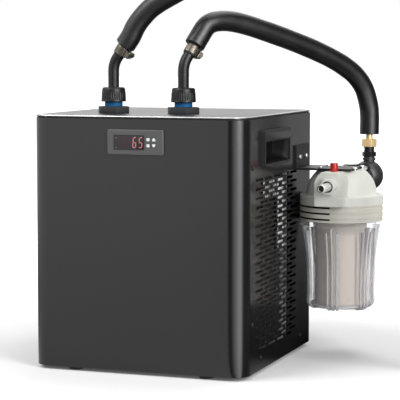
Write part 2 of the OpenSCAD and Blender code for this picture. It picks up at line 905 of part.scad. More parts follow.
outlet_plan = concat(
  [for (q = [lean_at(foam_from), lean_at(foam_from + foam_d / 2)]) [left_x + q[0], union_y, q[1]]],
  [for (q = outlet_shares) [left_x + q[0] * leg_out, union_y, axis_z + q[1] * arch_rise]],
  [for (a = [0 : 15 : 75]) coil_start + coil_bend * [0, -cos(a), 1 - sin(a)]],
  [coil_start - [0, foam_d / 2, 0], coil_start]
);

module outlet_hose() color([0.09, 0.09, 0.1]) place() tube(
  smooth(outlet_plan, 2), foam_d / 2, hose_sides, [1, -1, 0], [sin(lean), 0, cos(lean)], [0, 1, 0]
);

// the rest of the hose lies in one turn that draws inwards and ends inside itself
function coil_point(a) = let (r = coil_r - coil_pitch * a / 360)
  [coil_x - r * cos(a), coil_y + r * sin(a), coil_z];

coil_path = concat(
  [coil_start, coil_start + [0, foam_d / 2, 0]],
  [for (a = [0 : 360 / loop_rings : 360]) coil_point(a)],
  [for (q = coil_tail) [coil_x + q[0], coil_y + q[1], coil_z]]
);
coil_end = coil_path[len(coil_path) - 1];
coil_gap = min([
  for (i = [0 : loop_rings / 2], j = [loop_rings : len(coil_path) - 1]) norm(coil_path[i] - coil_path[j])
]) - foam_d;
echo("least gap between the coil's turns", coil_gap);

module outlet_hose_coil() color([0.09, 0.09, 0.1]) place()
  tube(coil_path, foam_d / 2, coil_sides, [0, 0, 1], [0, 1, 0], [1, 0, 0]);

module hose_connector() color("goldenrod") place() difference() {
  union() {
    rod_x(coil_end, connector_r, connector_l);
    rod_x(coil_end, connector_flange_r, connector_flange_h);
  }
  rod_x(coil_end + [connector_l - connector_depth, 0, 0], connector_bore, connector_depth + over);
}

// Fittings over the filter's outlet

module brass_connector() color([0.8, 0.6, 0.3]) place() translate([valve_x, valve_y, brass_z])
  difference() {
    union() {
      hex_z([0, 0, 0], brass_hex_r, brass_hex_h);
      rod_z([0, 0, 0], brass_neck_r, brass_hex_h + brass_neck_h);
    }
    rod_z([0, 0, -over], fitting_bore, brass_hex_h + brass_neck_h + 2 * over);
  }

module swivel_nut() color([0.1, 0.1, 0.11]) place() translate([valve_x, valve_y, swivel_z])
  difference() {
    union() {
      hex_z([0, 0, 0], swivel_hex_r, swivel_hex_h);
      rod_z([0, 0, 0], swivel_neck_r, swivel_hex_h + swivel_neck_h);
    }
    rod_z([0, 0, -over], fitting_bore, swivel_hex_h + swivel_neck_h + 2 * over);
  }

module outlet_valve() color([0.2, 0.2, 0.21]) place() difference() {
  collar_l = valve_y - filter_y - boss_out;
  union() {
    rod_y([filter_x, valve_y - collar_l - spigot_in, port_z], port_r - spigot_fit, spigot_in + over);
    rod_y([filter_x, valve_y - collar_l, port_z], valve_collar_r, collar_l);
    difference() {
      translate([bulb_x, valve_y, bulb_z]) sphere(r = bulb_r);
      box(
        [bulb_x - bulb_r, valve_y - bulb_r - over, bulb_z - bulb_r],
        [bulb_x + bulb_r, lever_y + clear, bulb_z + bulb_r]
      );
    }
    rod_z([valve_x, valve_y, bulb_z], riser_r, riser_top - bulb_z);
  }
  rod_y([filter_x, valve_y - collar_l - spigot_in - over, port_z], channel_r, collar_l + spigot_in + over);
  rod_x([filter_x, valve_y, port_z], channel_r, valve_x - filter_x);
  translate([filter_x, valve_y, port_z]) sphere(r = channel_r);
  translate([valve_x, valve_y, port_z]) sphere(r = channel_r);
  rod_z([valve_x, valve_y, port_z], flow_r, riser_top - port_z + over);
  translate([valve_x, valve_y, ball_z]) sphere(r = ball_r + clear);
  rod_y([valve_x, lever_y - over, ball_z], stem_r + spigot_fit, valve_y - lever_y);
}

module valve_ball() color("silver") place() difference() {
  translate([valve_x, valve_y, ball_z]) sphere(r = ball_r);
  rod_z([valve_x, valve_y, ball_z - ball_r - over], flow_r, 2 * (ball_r + over));
  rod_y([valve_x, valve_y - ball_r - over, ball_z], stem_r, over + ball_r - flow_r - over / 2);
}

module valve_lever() color([0.08, 0.08, 0.09]) place() translate([valve_x, lever_y, ball_z]) {
  rod_y([0, -lever_t, 0], lever_hub_r, lever_t);
  rod_y([0, -lever_t - lever_screw_h, 0], lever_screw_r, lever_screw_h + over);
  rod_y([0, 0, 0], stem_r, valve_y - lever_y - flow_r - over / 2);
  rotate([0, -atan2(lever_drop, lever_l), 0])
    box([-lever_l, -lever_t, -lever_w / 2], [0, 0, lever_w / 2]);
}

// Water filter

module filter_bracket() color([0.16, 0.16, 0.17]) place() difference() {
  union() {
    translate([half_w, filter_y - bracket_w / 2, bracket_z]) {
      cube([bracket_t, bracket_w, bracket_drop]);
      cube([bracket_reach, bracket_w, bracket_t]);
    }
  }
  for (y = [-wall_screw_y, wall_screw_y])
    rod_x([half_w - over, filter_y + y, bracket_z + wall_screw_z], screw_hole_r, bracket_t + 2 * over);
  for (x = [-cap_screw_x, cap_screw_x], y = [-cap_screw_y, cap_screw_y])
    rod_z([filter_x + x, filter_y + y, bracket_z - over], screw_hole_r, bracket_t + 2 * over);
}

module bracket_screws() color("gainsboro") place() {
  for (y = [-wall_screw_y, wall_screw_y]) {
    rod_x([half_w + bracket_t, filter_y + y, bracket_z + wall_screw_z], bolt_head_r, bolt_head_h);
    rod_x([half_w + bracket_t - bolt_l, filter_y + y, bracket_z + wall_screw_z], screw_r, bolt_l);
  }
  for (x = [-cap_screw_x, cap_screw_x], y = [-cap_screw_y, cap_screw_y]) {
    rod_z([filter_x + x, filter_y + y, bracket_z + bracket_t], bolt_head_r, bolt_head_h);
    rod_z([filter_x + x, filter_y + y, bracket_z + bracket_t - bolt_l], screw_r, bolt_l);
  }
}

// a flat-faced port boss with an arched top, towards -Y
module port_boss() translate([0, -drop_at + over, 0]) rotate([90, 0, 0])
  linear_extrude(boss_out - drop_at + over) {
    translate([-boss_r, boss_z]) square([2 * boss_r, cap_top - boss_neck - boss_z]);
    translate([0, cap_top - boss_neck]) difference() {
      circle(r = boss_r);
      translate([-boss_r, boss_neck]) square([2 * boss_r, boss_r]);
    }
  }

module filter_cap() color([0.83, 0.84, 0.8]) place() translate([filter_x, filter_y, 0]) difference() {
  union() {
    difference() {
      union() {
        rotate_extrude() polygon([
          [0, skirt_z], [cap_r, skirt_z], [cap_r, ledge_z], [cap_neck_r, ledge_z],
          [cap_neck_r, ledge_z + over], [cap_slope_r, cap_slope_z], [cap_flat_r, cap_top], [0, cap_top]
        ]);
        for (turn = [0, 180]) rotate([0, 0, turn]) port_boss();
        rod_z([0, -relief_y, cap_slope_z - relief_pocket], relief_collar, slope_drop + relief_pocket);
      }
      rod_z([0, 0, skirt_z - over], skirt_bore, ceiling_z - skirt_z + over);
    }
    rod_z([0, 0, ceiling_z - nipple_h], nipple_r, nipple_h + over);
  }
  for (i = [0 : 2]) translate([0, 0, groove_first - i * groove_step - groove_h / 2]) {
    difference() {
      rod_z([0, 0, 0], cap_r + boss_out, groove_h);
      rod_z([0, 0, -over], groove_r, groove_h + 2 * over);
    }
    rotate([0, 0, grip_to]) rotate_extrude(angle = grip_from - grip_to)
      translate([cap_r - grip_depth, 0]) square([boss_out, groove_h]);
  }
  rod_y([0, -boss_out - over, port_z], port_r, spigot_in + 2 * over);
  rod_y([0, boss_out - spigot_in - over, port_z], port_r, spigot_in + 2 * over);
  rod_y([0, -boss_out, port_z], drop_r, boss_out - drop_at);
  rod_z([0, -drop_at, ceiling_z - over], drop_r, port_z - ceiling_z + over);
  rod_y([0, 0, port_z], drop_r, boss_out);
  rod_z([0, 0, ceiling_z - nipple_h - over], drop_r, port_z - ceiling_z + nipple_h + over);
  for (x = [-cap_screw_x, cap_screw_x], y = [-cap_screw_y, cap_screw_y])
    rod_z([x, y, bracket_z + bracket_t - bolt_l - over], screw_hole_r, bolt_l);
  rod_z([0, -relief_y, cap_top - relief_pocket], relief_r + clear, relief_pocket + over);
}

module relief_button() color([0.85, 0.15, 0.15]) place() translate([filter_x, filter_y - relief_y, cap_top]) {
  sunk = relief_pocket - relief_gap - clear;
  rod_z([0, 0, -sunk], relief_r, sunk + relief_out);
}

module bowl_seal() color([0.07, 0.07, 0.07]) place()
  translate([filter_x, filter_y, bowl_rim + clear + seal_r]) rotate_extrude() translate([seal_at, 0])
    circle(r = seal_r);

module filter_bowl() color([0.85, 0.88, 0.9, 0.5]) place() translate([filter_x, filter_y, 0]) {
  taper_z = bowl_flange_top - bowl_flange_h - bowl_taper;
  neck = bowl_rim_r - bowl_wall - over;
  difference() {
    union() {
      rotate_extrude() polygon([
        [0, bowl_z], [bowl_foot_r - bowl_foot_round, bowl_z],
        for (a = [15 : 15 : 75]) [
          bowl_foot_r + bowl_foot_round * (sin(a) - 1), bowl_z + bowl_foot_round * (1 - cos(a))
        ],
        [bowl_foot_r, bowl_z + bowl_foot_round], [bowl_top_r, taper_z],
        [bowl_flange_r, bowl_flange_top - bowl_flange_h], [bowl_flange_r, bowl_flange_top],
        [bowl_rim_r, bowl_flange_top], [bowl_rim_r, bowl_rim], [0, bowl_rim]
      ]);
      for (i = [0 : bowl_ribs - 1]) rotate([0, 0, (i + 0.5) * 360 / bowl_ribs]) rotate([90, 0, 0])
        translate([0, 0, -bowl_rib_t / 2]) linear_extrude(bowl_rib_t) polygon([
          [bowl_foot_r - bowl_wall, bowl_rib_z0], [bowl_foot_r + over, bowl_rib_z0],
          [bowl_top_r + bowl_rib_out, bowl_rib_z1], [bowl_top_r - bowl_wall, bowl_rib_z1 + bowl_rib_out]
        ]);
    }
    rotate_extrude() polygon([
      [0, bowl_z + bowl_wall], [bowl_foot_r - bowl_foot_round, bowl_z + bowl_wall],
      [bowl_foot_r - bowl_wall, bowl_z + bowl_foot_round + bowl_wall],
      [bowl_top_r - bowl_wall, taper_z], [neck, bowl_flange_top - bowl_flange_h],
      [neck - over, bowl_rim - over], [neck - over, bowl_rim + over], [0, bowl_rim + over]
    ]);
  }
  difference() {
    rod_z([0, 0, bowl_z + bowl_wall / 2], stand_r, cartridge_z - bowl_z - bowl_wall / 2 - clear);
    rod_z([0, 0, bowl_z], stand_r - bowl_wall, cartridge_z);
  }
}

module filter_cartridge() color([0.82, 0.79, 0.74]) place() translate([filter_x, filter_y, 0]) difference() {
  union() {
    rod_z([0, 0, cartridge_z], cartridge_r - media_in, cartridge_top - cartridge_z);
    for (z = [cartridge_z, cartridge_top - end_cap_h]) rod_z([0, 0, z], cartridge_r, end_cap_h);
  }
  rod_z([0, 0, cartridge_z - over], cartridge_bore, cartridge_top - cartridge_z + 2 * over);
}

module inlet_fitting() color([0.88, 0.88, 0.87]) place() translate([filter_x, filter_y - boss_out, port_z])
  difference() {
    union() {
      rotate([90, 0, 0]) cylinder(r = inlet_hex_r, h = inlet_hex_h, $fn = 6);
      rod_y([0, 0, 0], port_r - spigot_fit, spigot_in);
      rod_y([0, -inlet_l, 0], inlet_tube_r, inlet_l);
    }
    rod_y([0, -inlet_l - over, 0], inlet_bore, inlet_l + spigot_in + 2 * over);
    difference() {
      rod_y([0, -inlet_hex_h - over, 0], inlet_recess_r, inlet_recess + over);
      rod_y([0, -inlet_hex_h - 2 * over, 0], inlet_tube_r, inlet_recess + 3 * over);
    }
  }

// Inside the cabinet

module compressor() color([0.12, 0.12, 0.13]) place() translate([comp_x, comp_y, 0]) {
  difference() {
    translate([0, 0, comp_z]) linear_extrude(plate_t) square(2 * (mount_at + mount_r), center = true);
    for (x = [-mount_at, mount_at], y = [-mount_at, mount_at])
      rod_z([x, y, comp_z - over], mount_r / 2, plate_t + 2 * over);
  }
  rod_z([0, 0, comp_z + plate_t - over], compressor_r, shell_h - shell_dome + over);
  intersection() {
    rod_z([0, 0, comp_top - shell_dome - over], compressor_r, shell_dome + over);
    translate([0, 0, comp_top - dome_r]) sphere(r = dome_r);
  }
}

module compressor_mounts() color("black") place() translate([comp_x, comp_y, floor_z])
  for (x = [-mount_at, mount_at], y = [-mount_at, mount_at]) {
    rod_z([x, y, 0], mount_r, mount_h);
    rod_z([x, y, 0], mount_r / 2 - clear, mount_h + plate_t);
  }

module condenser() color([0.55, 0.55, 0.56]) place() {
  box([condenser_x, shroud_y0 + sheet, core_z0], [condenser_x + condenser_t, shroud_y1, core_z1]);
  for (y = [shroud_y0 + fin_pitch : fin_pitch : shroud_y1 - fin_pitch])
    translate([condenser_x + condenser_t - over, y, core_z0])
      cube([over + fin_out, fin_t, core_z1 - core_z0]);
}

module fan_shroud() color([0.75, 0.76, 0.77]) place() {
  difference() {
    box([shroud_x, shroud_y0, floor_z], [shroud_x + sheet, shroud_y1 + sheet, shroud_top]);
    rod_x([shroud_x - over, fan_y, fan_z], orifice_r, sheet + 2 * over);
  }
  box([shroud_x, shroud_y0, floor_z], [shroud_out, shroud_y0 + sheet, shroud_top]);
  box([shroud_x, shroud_y1, floor_z], [shroud_out, shroud_y1 + sheet, shroud_top]);
  for (side = [-1, 1]) translate([0, fan_y + side * leg_at, fan_z])
    box([bar_x, -leg_t / 2, -bar_h / 2], [shroud_x, leg_t / 2, bar_h / 2]);
  difference() {
    box([bar_x, fan_y - leg_at, fan_z - bar_h / 2], [bar_x + bar_t, fan_y + leg_at, fan_z + bar_h / 2]);
    rod_x([bar_x - over, fan_y, fan_z], shaft_r + clear, bar_t + 2 * over);
  }
}

module fan_motor() color([0.3, 0.31, 0.33]) place() {
  rod_x([bar_x - motor_l, fan_y, fan_z], motor_r, motor_l);
  rod_x([bar_x - over, fan_y, fan_z], shaft_r, fan_x0 + fan_l - bar_x + over);
}

module fan_blade() color([0.15, 0.15, 0.16]) place() translate([fan_x0, fan_y, fan_z]) difference() {
  union() {
    rod_x([0, 0, 0], hub_r, fan_l);
    for (i = [0 : blades - 1]) rotate([i * 360 / blades, 0, 0]) translate([fan_l / 2, 0, hub_r - over])
      rotate([0, 0, blade_pitch]) linear_extrude(fan_r - hub_r) square([blade_t, blade_w], center = true);
  }
  rod_x([-over, 0, 0], shaft_r + spigot_fit, fan_l + 2 * over);
}

module chiller_tank() color([0.1, 0.1, 0.1]) place() {
  rod_z([tank_x, tank_y, floor_z], tank_r - tank_cap, tank_foot_h + over);
  rod_z([tank_x, tank_y, floor_z + tank_foot_h], tank_r, tank_z1 - floor_z - tank_foot_h);
  for (p = [port_a, port_b]) rod_z([p.x, p.y, tank_z1 - over], tank_port_r, tank_cap + over);
}

module water_pipes() color([0.75, 0.77, 0.8]) place() {
  top = tank_z1 + tank_cap;
  bent_rod([
    [left_x, union_y, bulkhead_end], [left_x, union_y, upper_run],
    [port_a.x, port_a.y, upper_run], [port_a.x, port_a.y, top]
  ], pipe_r);
  bent_rod([
    [right_x, union_y, bulkhead_end], [right_x, union_y, lower_run],
    [port_b.x, port_b.y, lower_run], [port_b.x, port_b.y, top]
  ], pipe_r);
}

module copper_lines() color([0.72, 0.42, 0.25]) place() {
  core_x = condenser_x + condenser_t / 2;
  bent_rod([
    [hot_x, comp_y, comp_top - shell_dome / 2], [hot_x, comp_y, hot_z],
    [core_x, comp_y, hot_z], [core_x, shroud_y1 + sheet, hot_z]
  ], copper_r);
  bent_rod([
    [core_x, shroud_y1 + sheet, liquid_z], [core_x, comp_y, liquid_z], [liquid_x, comp_y, liquid_z],
    [liquid_x, tank_y, liquid_z], [tank_x + tank_r - copper_r, tank_y, liquid_z]
  ], copper_r);
  rod_y([liquid_x, -drier_l / 2, liquid_z], drier_r, drier_l);
  bent_rod([
    [suction_x, tank_y + tank_r - copper_r, suction_z], [suction_x, comp_y, suction_z],
    [suction_x, comp_y, comp_top - shell_dome / 2]
  ], copper_r);
}

module electrics_box() color([0.6, 0.61, 0.62]) place() difference() {
  corner = [box_x, half_d - sheet - box_size[1], box_z];
  wall = [box_wall, box_wall, box_wall];
  translate(corner) cube(box_size);
  translate(corner + wall) cube(box_size - 2 * wall + [0, box_wall + over, 0]);
}

module power_inlet() color([0.1, 0.1, 0.1]) place() translate([inlet_x, half_d, inlet_z]) {
  difference() {
    union() {
      translate([0, inlet_t, 0]) rotate([90, 0, 0]) linear_extrude(inlet_t)
        round_rect(inlet_w, inlet_h, inlet_t);
      translate([0, over, 0]) rotate([90, 0, 0]) linear_extrude(inlet_body[1] + over)
        square([inlet_body[0], inlet_body[2]], center = true);
    }
    translate([0, inlet_t + over, 0]) rotate([90, 0, 0]) linear_extrude(socket_size[1] + over)
      square([socket_size[0], socket_size[2]], center = true);
  }
  for (x = [-pin_x, 0, pin_x])
    translate([x, inlet_t - socket_size[1] + pin_size[1] - over, x == 0 ? pin_up : -pin_up])
      rotate([90, 0, 0]) linear_extrude(pin_size[1]) square([pin_size[0], pin_size[2]], center = true);
}

base_pan();
feet();
front_cover();
top_cover();
left_panel();
right_panel();
rear_panel();
panel_screws();
handle_left();
handle_right();
controller_case();
controller_clips();
display_window();
key_set();
key_up();
key_power();
key_down();
bulkhead_left();
bulkhead_right();
lock_nuts();
seal_ring_left();
seal_ring_right();
slip_washer_left();
slip_washer_right();
union_nut_left();
union_nut_right();
elbow_tail_left();
elbow_tail_right();
hose_ends();
hose_clamp_left();
hose_clamp_right();
filter_hose();
outlet_hose();
outlet_hose_coil();
hose_connector();
brass_connector();
swivel_nut();
outlet_valve();
valve_ball();
valve_lever();
filter_bracket();
bracket_screws();
filter_cap();
relief_button();
bowl_seal();
filter_bowl();
filter_cartridge();
inlet_fitting();
compressor();
compressor_mounts();
condenser();
fan_shroud();
fan_motor();
fan_blade();
chiller_tank();
water_pipes();
copper_lines();
electrics_box();
power_inlet();
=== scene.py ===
"""Looks of an ice bath chiller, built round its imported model.

Shapes are worked out in the cabinet's own millimetres: x and y from its middle axis, z from the floor.
"""

import math

import bmesh
import bpy
import numpy as np
from bpy.props import FloatProperty, FloatVectorProperty, IntProperty, PointerProperty, StringProperty
from mathutils import Matrix, Vector
from mathutils.geometry import tessellate_polygon


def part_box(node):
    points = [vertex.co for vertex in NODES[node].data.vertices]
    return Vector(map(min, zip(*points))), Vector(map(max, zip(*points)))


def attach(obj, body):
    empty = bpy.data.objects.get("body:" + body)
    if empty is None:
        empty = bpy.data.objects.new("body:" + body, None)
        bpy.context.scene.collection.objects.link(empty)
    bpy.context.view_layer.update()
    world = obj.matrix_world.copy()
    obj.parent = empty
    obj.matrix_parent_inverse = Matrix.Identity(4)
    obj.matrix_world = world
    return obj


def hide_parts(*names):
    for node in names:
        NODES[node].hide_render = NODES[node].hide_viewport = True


bl_info = {
    "name": "Ice bath chiller",
    "version": (1, 0, 0),
    "blender": (4, 5, 0),
    "location": "View3D > Sidebar > Chiller",
    "description": "Dresses each group of pieces of an ice bath chiller, and sets its stage",
    "category": "Add Mesh",
}

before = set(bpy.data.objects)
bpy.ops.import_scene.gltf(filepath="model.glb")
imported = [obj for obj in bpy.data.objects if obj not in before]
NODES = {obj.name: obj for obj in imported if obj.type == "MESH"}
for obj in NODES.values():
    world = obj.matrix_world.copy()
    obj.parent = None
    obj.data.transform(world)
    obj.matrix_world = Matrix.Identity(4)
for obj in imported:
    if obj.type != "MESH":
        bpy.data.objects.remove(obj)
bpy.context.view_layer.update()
PAN_LOW, PAN_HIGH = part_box("base_pan")
MIDDLE = np.array([(PAN_LOW[0] + PAN_HIGH[0]) / 2, (PAN_LOW[1] + PAN_HIGH[1]) / 2, 0.0])
TURN = 2 * math.pi
MM = 0.001
WELD = 2e-6
LEVEL_WITHIN = 0.6
CREASE = 35
ROD_SPACING = 8.3

# The unions on the lid: x, and the way the elbow faces in degrees from +x. Its axes meet at ELBOW_Z.
UNION_Y = -51.0
UNIONS = {"left": (-74.0, 0.0), "right": (31.0, math.degrees(math.atan2(256.0, 201.0)))}
ELBOW_Z = 421.0
LEAN = math.radians(35)
ELBOW_BEND = 34.0
FOAM_FROM, FOAM_STRAIGHT = 31.0, 45.5

# The upright axes of the filter and of the outlet valve, and heights on them.
FILTER = (216.0, 107.0)
CAP_TOP = 267.7
PORT_Z, PORT_REACH = CAP_TOP - 19.5, 70
BUTTON_Y = -41
RISER_TOP = CAP_TOP + 13.3
VALVE = (232.0, 205.0)
LEVER_PIVOT = (VALVE[0], VALVE[1] - 19.5, PORT_Z + 17)

# The controller on the front, its window, and the screws of a side panel.
CONTROLLER = (1.0, -153.0, 317.0)
PANE_PLACE = (-9, -0.4)
SIDE_SCREWS = [(-120.4, 283.5), (-120.4, 72.5), (-83.0, 22.0), (104.0, 22.0)]
KEY_NAMES = ("set", "up", "power", "down")
KEY_PLACES = ((18.9, 4.1), (27.1, 4.1), (18.9, -4.1), (27.1, -4.1))
STROKE_ENDS = {
    "a": ((0.75, 14.25), (4.85, 14.25)),
    "b": ((4.85, 14.25), (4.85, 7.5)),
    "c": ((4.85, 7.5), (4.85, 0.75)),
    "d": ((0.75, 0.75), (4.85, 0.75)),
    "e": ((0.75, 7.5), (0.75, 0.75)),
    "f": ((0.75, 14.25), (0.75, 7.5)),
    "g": ((0.75, 7.5), (4.85, 7.5)),
}
DIGIT_STROKES = {
    "0": "abcdef", "1": "bc", "2": "abged", "3": "abgcd", "4": "fgbc", "5": "afgcd", "6": "afgedc",
    "7": "abc", "8": "abcdefg", "9": "abcdfg"
}
DOME = np.array([
    (232.2, 51.2), (238, 50.6), (244, 49.3), (249.7, 47.5), (254, 45.3), (258, 42.6), (262, 39.4),
    (265, 36.8), (267, 34.2), (267.7, 32.5)
])
GROOVES = (216.6, 208.2, 199.8)


# ---------------------------------------------------------------- shapes


def metres(points):
    """Cabinet millimetres as metres in the model's frame."""
    return np.asarray(points, float) * MM + MIDDLE


def quads(rows, columns, wrap_rows=False, wrap_columns=True):
    """Four-sided faces between the neighbours of a grid of points, counted row by row."""
    a, b = np.meshgrid(
        np.arange(rows if wrap_rows else rows - 1), np.arange(columns if wrap_columns else columns - 1),
        indexing="ij"
    )
    c, d = (a + 1) % rows, (b + 1) % columns
    return np.stack(
        [a * columns + b, a * columns + d, c * columns + d, c * columns + b], -1
    ).reshape(-1, 4).tolist()


def rings(points, closed=False):
    """A shell from rings of points: neighbours are joined, and the first and last ring are closed with a face
    each."""
    rows, columns = points.shape[:2]
    faces = quads(rows, columns, wrap_rows=closed)
    if not closed:
        faces += [list(range(columns)), list(range((rows - 1) * columns, rows * columns))]
    return points.reshape(-1, 3), faces


def turned(profile, sides=64, ripple=None, closed=False):
    """A profile of radius and height carried round the upright axis; ripple(angle, height, radius) is added
    to the radius."""
    profile = np.asarray(profile, float)
    angle = np.arange(sides) * TURN / sides
    r = np.repeat(profile[:, :1], sides, 1)
    z = np.repeat(profile[:, 1:], sides, 1)
    if ripple:
        r = r + ripple(angle[None, :], z, r)
    return rings(np.stack([r * np.cos(angle), r * np.sin(angle), z], -1), closed)


def corners(width, depth, radii, steps=8):
    """A rectangle's outline, anticlockwise, each corner a quarter circle of its own radius: lower right,
    upper right, upper left, lower left."""
    t = np.linspace(0, math.pi / 2, steps + 1)
    out = []
    for k, (sx, sy) in enumerate(((1, -1), (1, 1), (-1, 1), (-1, -1))):
        r = max(radii[k], 0.01)
        a = t + (k - 1) * math.pi / 2
        out.append(np.stack([sx * (width / 2 - r) + r * np.cos(a), sy * (depth / 2 - r) + r * np.sin(a)], -1))
    return np.concatenate(out)


def circle(radius, sides=60):
    """A circle's outline, anticlockwise."""
    angle = np.arange(sides) * TURN / sides
    return np.stack([radius * np.cos(angle), radius * np.sin(angle)], -1)


def oblong(width, depth, radius, steps=8):
    """The outline of a rounded rectangle at a given inset from its edge."""
    return lambda inset: corners(width - 2 * inset, depth - 2 * inset, [radius - inset] * 4, steps)


def hexagon(flats, radius=1.2, steps=4):
    """The outline of a hexagon with softened corners at a given inset: six short arcs, each centred on its
    corner's ray."""

    def outline(inset):
        reach = (flats / 2 - inset - radius) / math.cos(math.pi / 6)
        middle = np.arange(6) * TURN / 6
        t = np.linspace(-math.pi / 6, math.pi / 6, steps + 1)
        a = middle[:, None] + t[None, :]
        return np.stack(
            [
                reach * np.cos(middle)[:, None] + radius * np.cos(a),
                reach * np.sin(middle)[:, None] + radius * np.sin(a)
            ],
            -1
        ).reshape(-1, 2)

    return outline


def stacked(outline, levels, closed=False):
    """A shell whose rings are one outline at a list of insets and heights."""
    points = [
        np.concatenate([outline(inset), np.full((len(outline(inset)), 1), z)], 1) for inset, z in levels
    ]
    return rings(np.array(points), closed)


def walls(levels, closed=False):
    """The side of a shell: outlines of equally many points, each at its height, joined to the next."""
    points = np.array([np.concatenate([outline, np.full((len(outline), 1), z)], 1) for outline, z in levels])
    return points.reshape(-1, 3), quads(*points.shape[:2], wrap_rows=closed)


def flat(outline, holes, z):
    """A level face at height z, filled between an outline and the holes in it."""
    loops = [np.concatenate([loop, np.full((len(loop), 1), z)], 1) for loop in (outline, *holes)]
    return np.concatenate(loops), [
        list(face) for face in tessellate_polygon([loop.tolist() for loop in loops])
    ]


def prism(outline, low, high, edge=0.0):
    """An outline between two heights; its upper rim is drawn towards its middle by edge."""
    out = outline - outline.mean(0)
    inner = outline - edge * out / np.linalg.norm(out, axis=1, keepdims=True)
    levels = [(outline, low), (outline, high - edge)] + ([(inner, high)] if edge else [])
    return rings(np.array([np.concatenate([o, np.full((len(o), 1), z)], 1) for o, z in levels]))


def softened(outline, low, high, edge=0.8, steps=3):
    """An outline between two heights, its two rims rounded by a quarter circle."""
    t = np.linspace(0, math.pi / 2, steps + 1)
    bottom = [(edge * (1 - math.sin(a)), low + edge * (1 - math.cos(a))) for a in t]
    top = [(edge * (1 - math.cos(a)), high - edge * (1 - math.sin(a))) for a in t]
    return stacked(outline, bottom + top)


def drawn(path, radius, sides=32, side=(0.0, 0.0, 1.0), ripple=None):
    """A circle carried along a path of points; its radius and side vector may change from point to point, and
    the side vector is never along the path."""
    path = np.asarray(path, float)
    way = np.gradient(path, axis=0)
    way /= np.linalg.norm(way, axis=1, keepdims=True)
    side = np.broadcast_to(np.asarray(side, float), path.shape)
    u = np.cross(side, way)
    u /= np.linalg.norm(u, axis=1, keepdims=True)
    v = np.cross(way, u)
    angle = np.arange(sides) * TURN / sides
    r = np.broadcast_to(np.asarray(radius, float).reshape(-1, 1), (len(path), sides))
    if ripple:
        run = np.concatenate([[0], np.cumsum(np.linalg.norm(np.diff(path, axis=0), axis=1))])
        r = r + ripple(angle[None, :], run[:, None])
    ring = r[..., None] * (
        np.cos(angle)[None, :, None] * u[:, None] + np.sin(angle)[None, :, None] * v[:, None]
    )
    return rings(path[:, None] + ring)


def smooth(points, steps):
    """A curve through points: each stretch is the cubic that leaves and arrives along the line between its
    neighbours."""
    p = np.asarray(points, float)
    q = np.concatenate([p[:1], p, p[-1:]])
    a, b, c, d = (q[i : len(q) - 3 + i, None] for i in range(4))
    t = (np.arange(steps) / steps)[None, :, None]
    curve = (2 * b + (c - a) * t + (2 * a - 5 * b + 4 * c - d) * t**2 + (3 * b - a - 3 * c + d) * t**3) / 2
    return np.concatenate([curve.reshape(-1, p.shape[1]), p[-1:]])


def moved(shell, origin=(0, 0, 0), z=(0, 0, 1), x=(1, 0, 0)):
    """A shell turned so that its own z and x point as given, then carried to origin."""
    z = np.asarray(z, float) / np.linalg.norm(z)
    y = np.cross(z, np.asarray(x, float))
    y /= np.linalg.norm(y)
    return shell[0] @ np.array([np.cross(y, z), y, z]) + np.asarray(origin, float), shell[1]


def box(low, high, edge=0.6, steps=2):
    """A block between two corners with its upright and level edges rounded."""
    low, high = np.asarray(low, float), np.asarray(high, float)
    w, d, h = high - low
    edge = min(edge, w / 2.2, d / 2.2, h / 2.2)
    middle = (low + high) / 2
    return moved(softened(oblong(w, d, edge + 0.02, steps), -h / 2, h / 2, edge, steps), middle)


def facing(points, origin):
    """Carries shells that are drawn looking at the front panel, with x to the right and y up, to the front:
    their z comes out towards the viewer."""
    return [moved(s, origin, z=(0, -1, 0), x=(1, 0, 0)) for s in points]


def bar(start, end, half=0.62, low=3.18, high=3.3):
    """A stroke of a digit, its ends cut to a point so that neighbours meet with a thin gap."""
    a, b = np.array(start), np.array(end)
    way = (b - a) / np.linalg.norm(b - a)
    across = np.array([-way[1], way[0]])
    a, b = a + 0.15 * way, b - 0.15 * way
    return prism(
        np.array([
            a, a + half * (way - across), b - half * (way + across), b, b + half * (across - way),
            a + half * (way + across)
        ]),
        low, high
    )


def slanted(shell):
    """Leans a digit's stroke forwards: x grows with y by the tangent of five degrees."""
    points = shell[0].copy()
    points[:, 0] += math.tan(math.radians(5)) * (points[:, 1] + 7.8)
    return points, shell[1]


def pan_head(radius, height, length):
    """A screw from its seat outwards: a domed head, and the shank behind it."""
    head = [
        (0, 0), (radius - 0.1, 0), (radius, 0.15), (radius, 0.45 * height), (0.9 * radius, 0.8 * height),
        (0.7 * radius, height), (0, height)
    ]
    return [
        turned(head, 32),
        turned([(0, -length), (1.2, -length), (1.5, 0.6 - length), (1.5, 0.1), (0, 0.1)], 20)
    ]


def painted_cross_recess(half, top, wide=0.4):
    """The cross-shaped recess of a screw head, as a dark cross level with its top: painted shade in place of
    the hollow.
    """
    outline = np.array([
        (wide, -half), (wide, -wide), (half, -wide), (half, wide), (wide, wide), (wide, half), (-wide, half),
        (-wide, wide), (-half, wide), (-half, -wide), (-wide, -wide), (-wide, -half)
    ])
    return [prism(outline, top - 0.3, top)]


def cleaned(mesh, crease, level=False):
    """Doubles merged, faces outwards, smooth but for edges sharper than crease; level also makes flat
    triangles one face."""
    bm = bmesh.new()
    bm.from_mesh(mesh)
    bmesh.ops.remove_doubles(bm, verts=bm.verts, dist=WELD)
    if level:
        bmesh.ops.dissolve_limit(bm, angle_limit=math.radians(LEVEL_WITHIN), verts=bm.verts, edges=bm.edges)
    bmesh.ops.recalc_face_normals(bm, faces=bm.faces)
    bm.to_mesh(mesh)
    bm.free()
    mesh.shade_smooth()
    mesh.set_sharp_from_angle(angle=math.radians(crease))


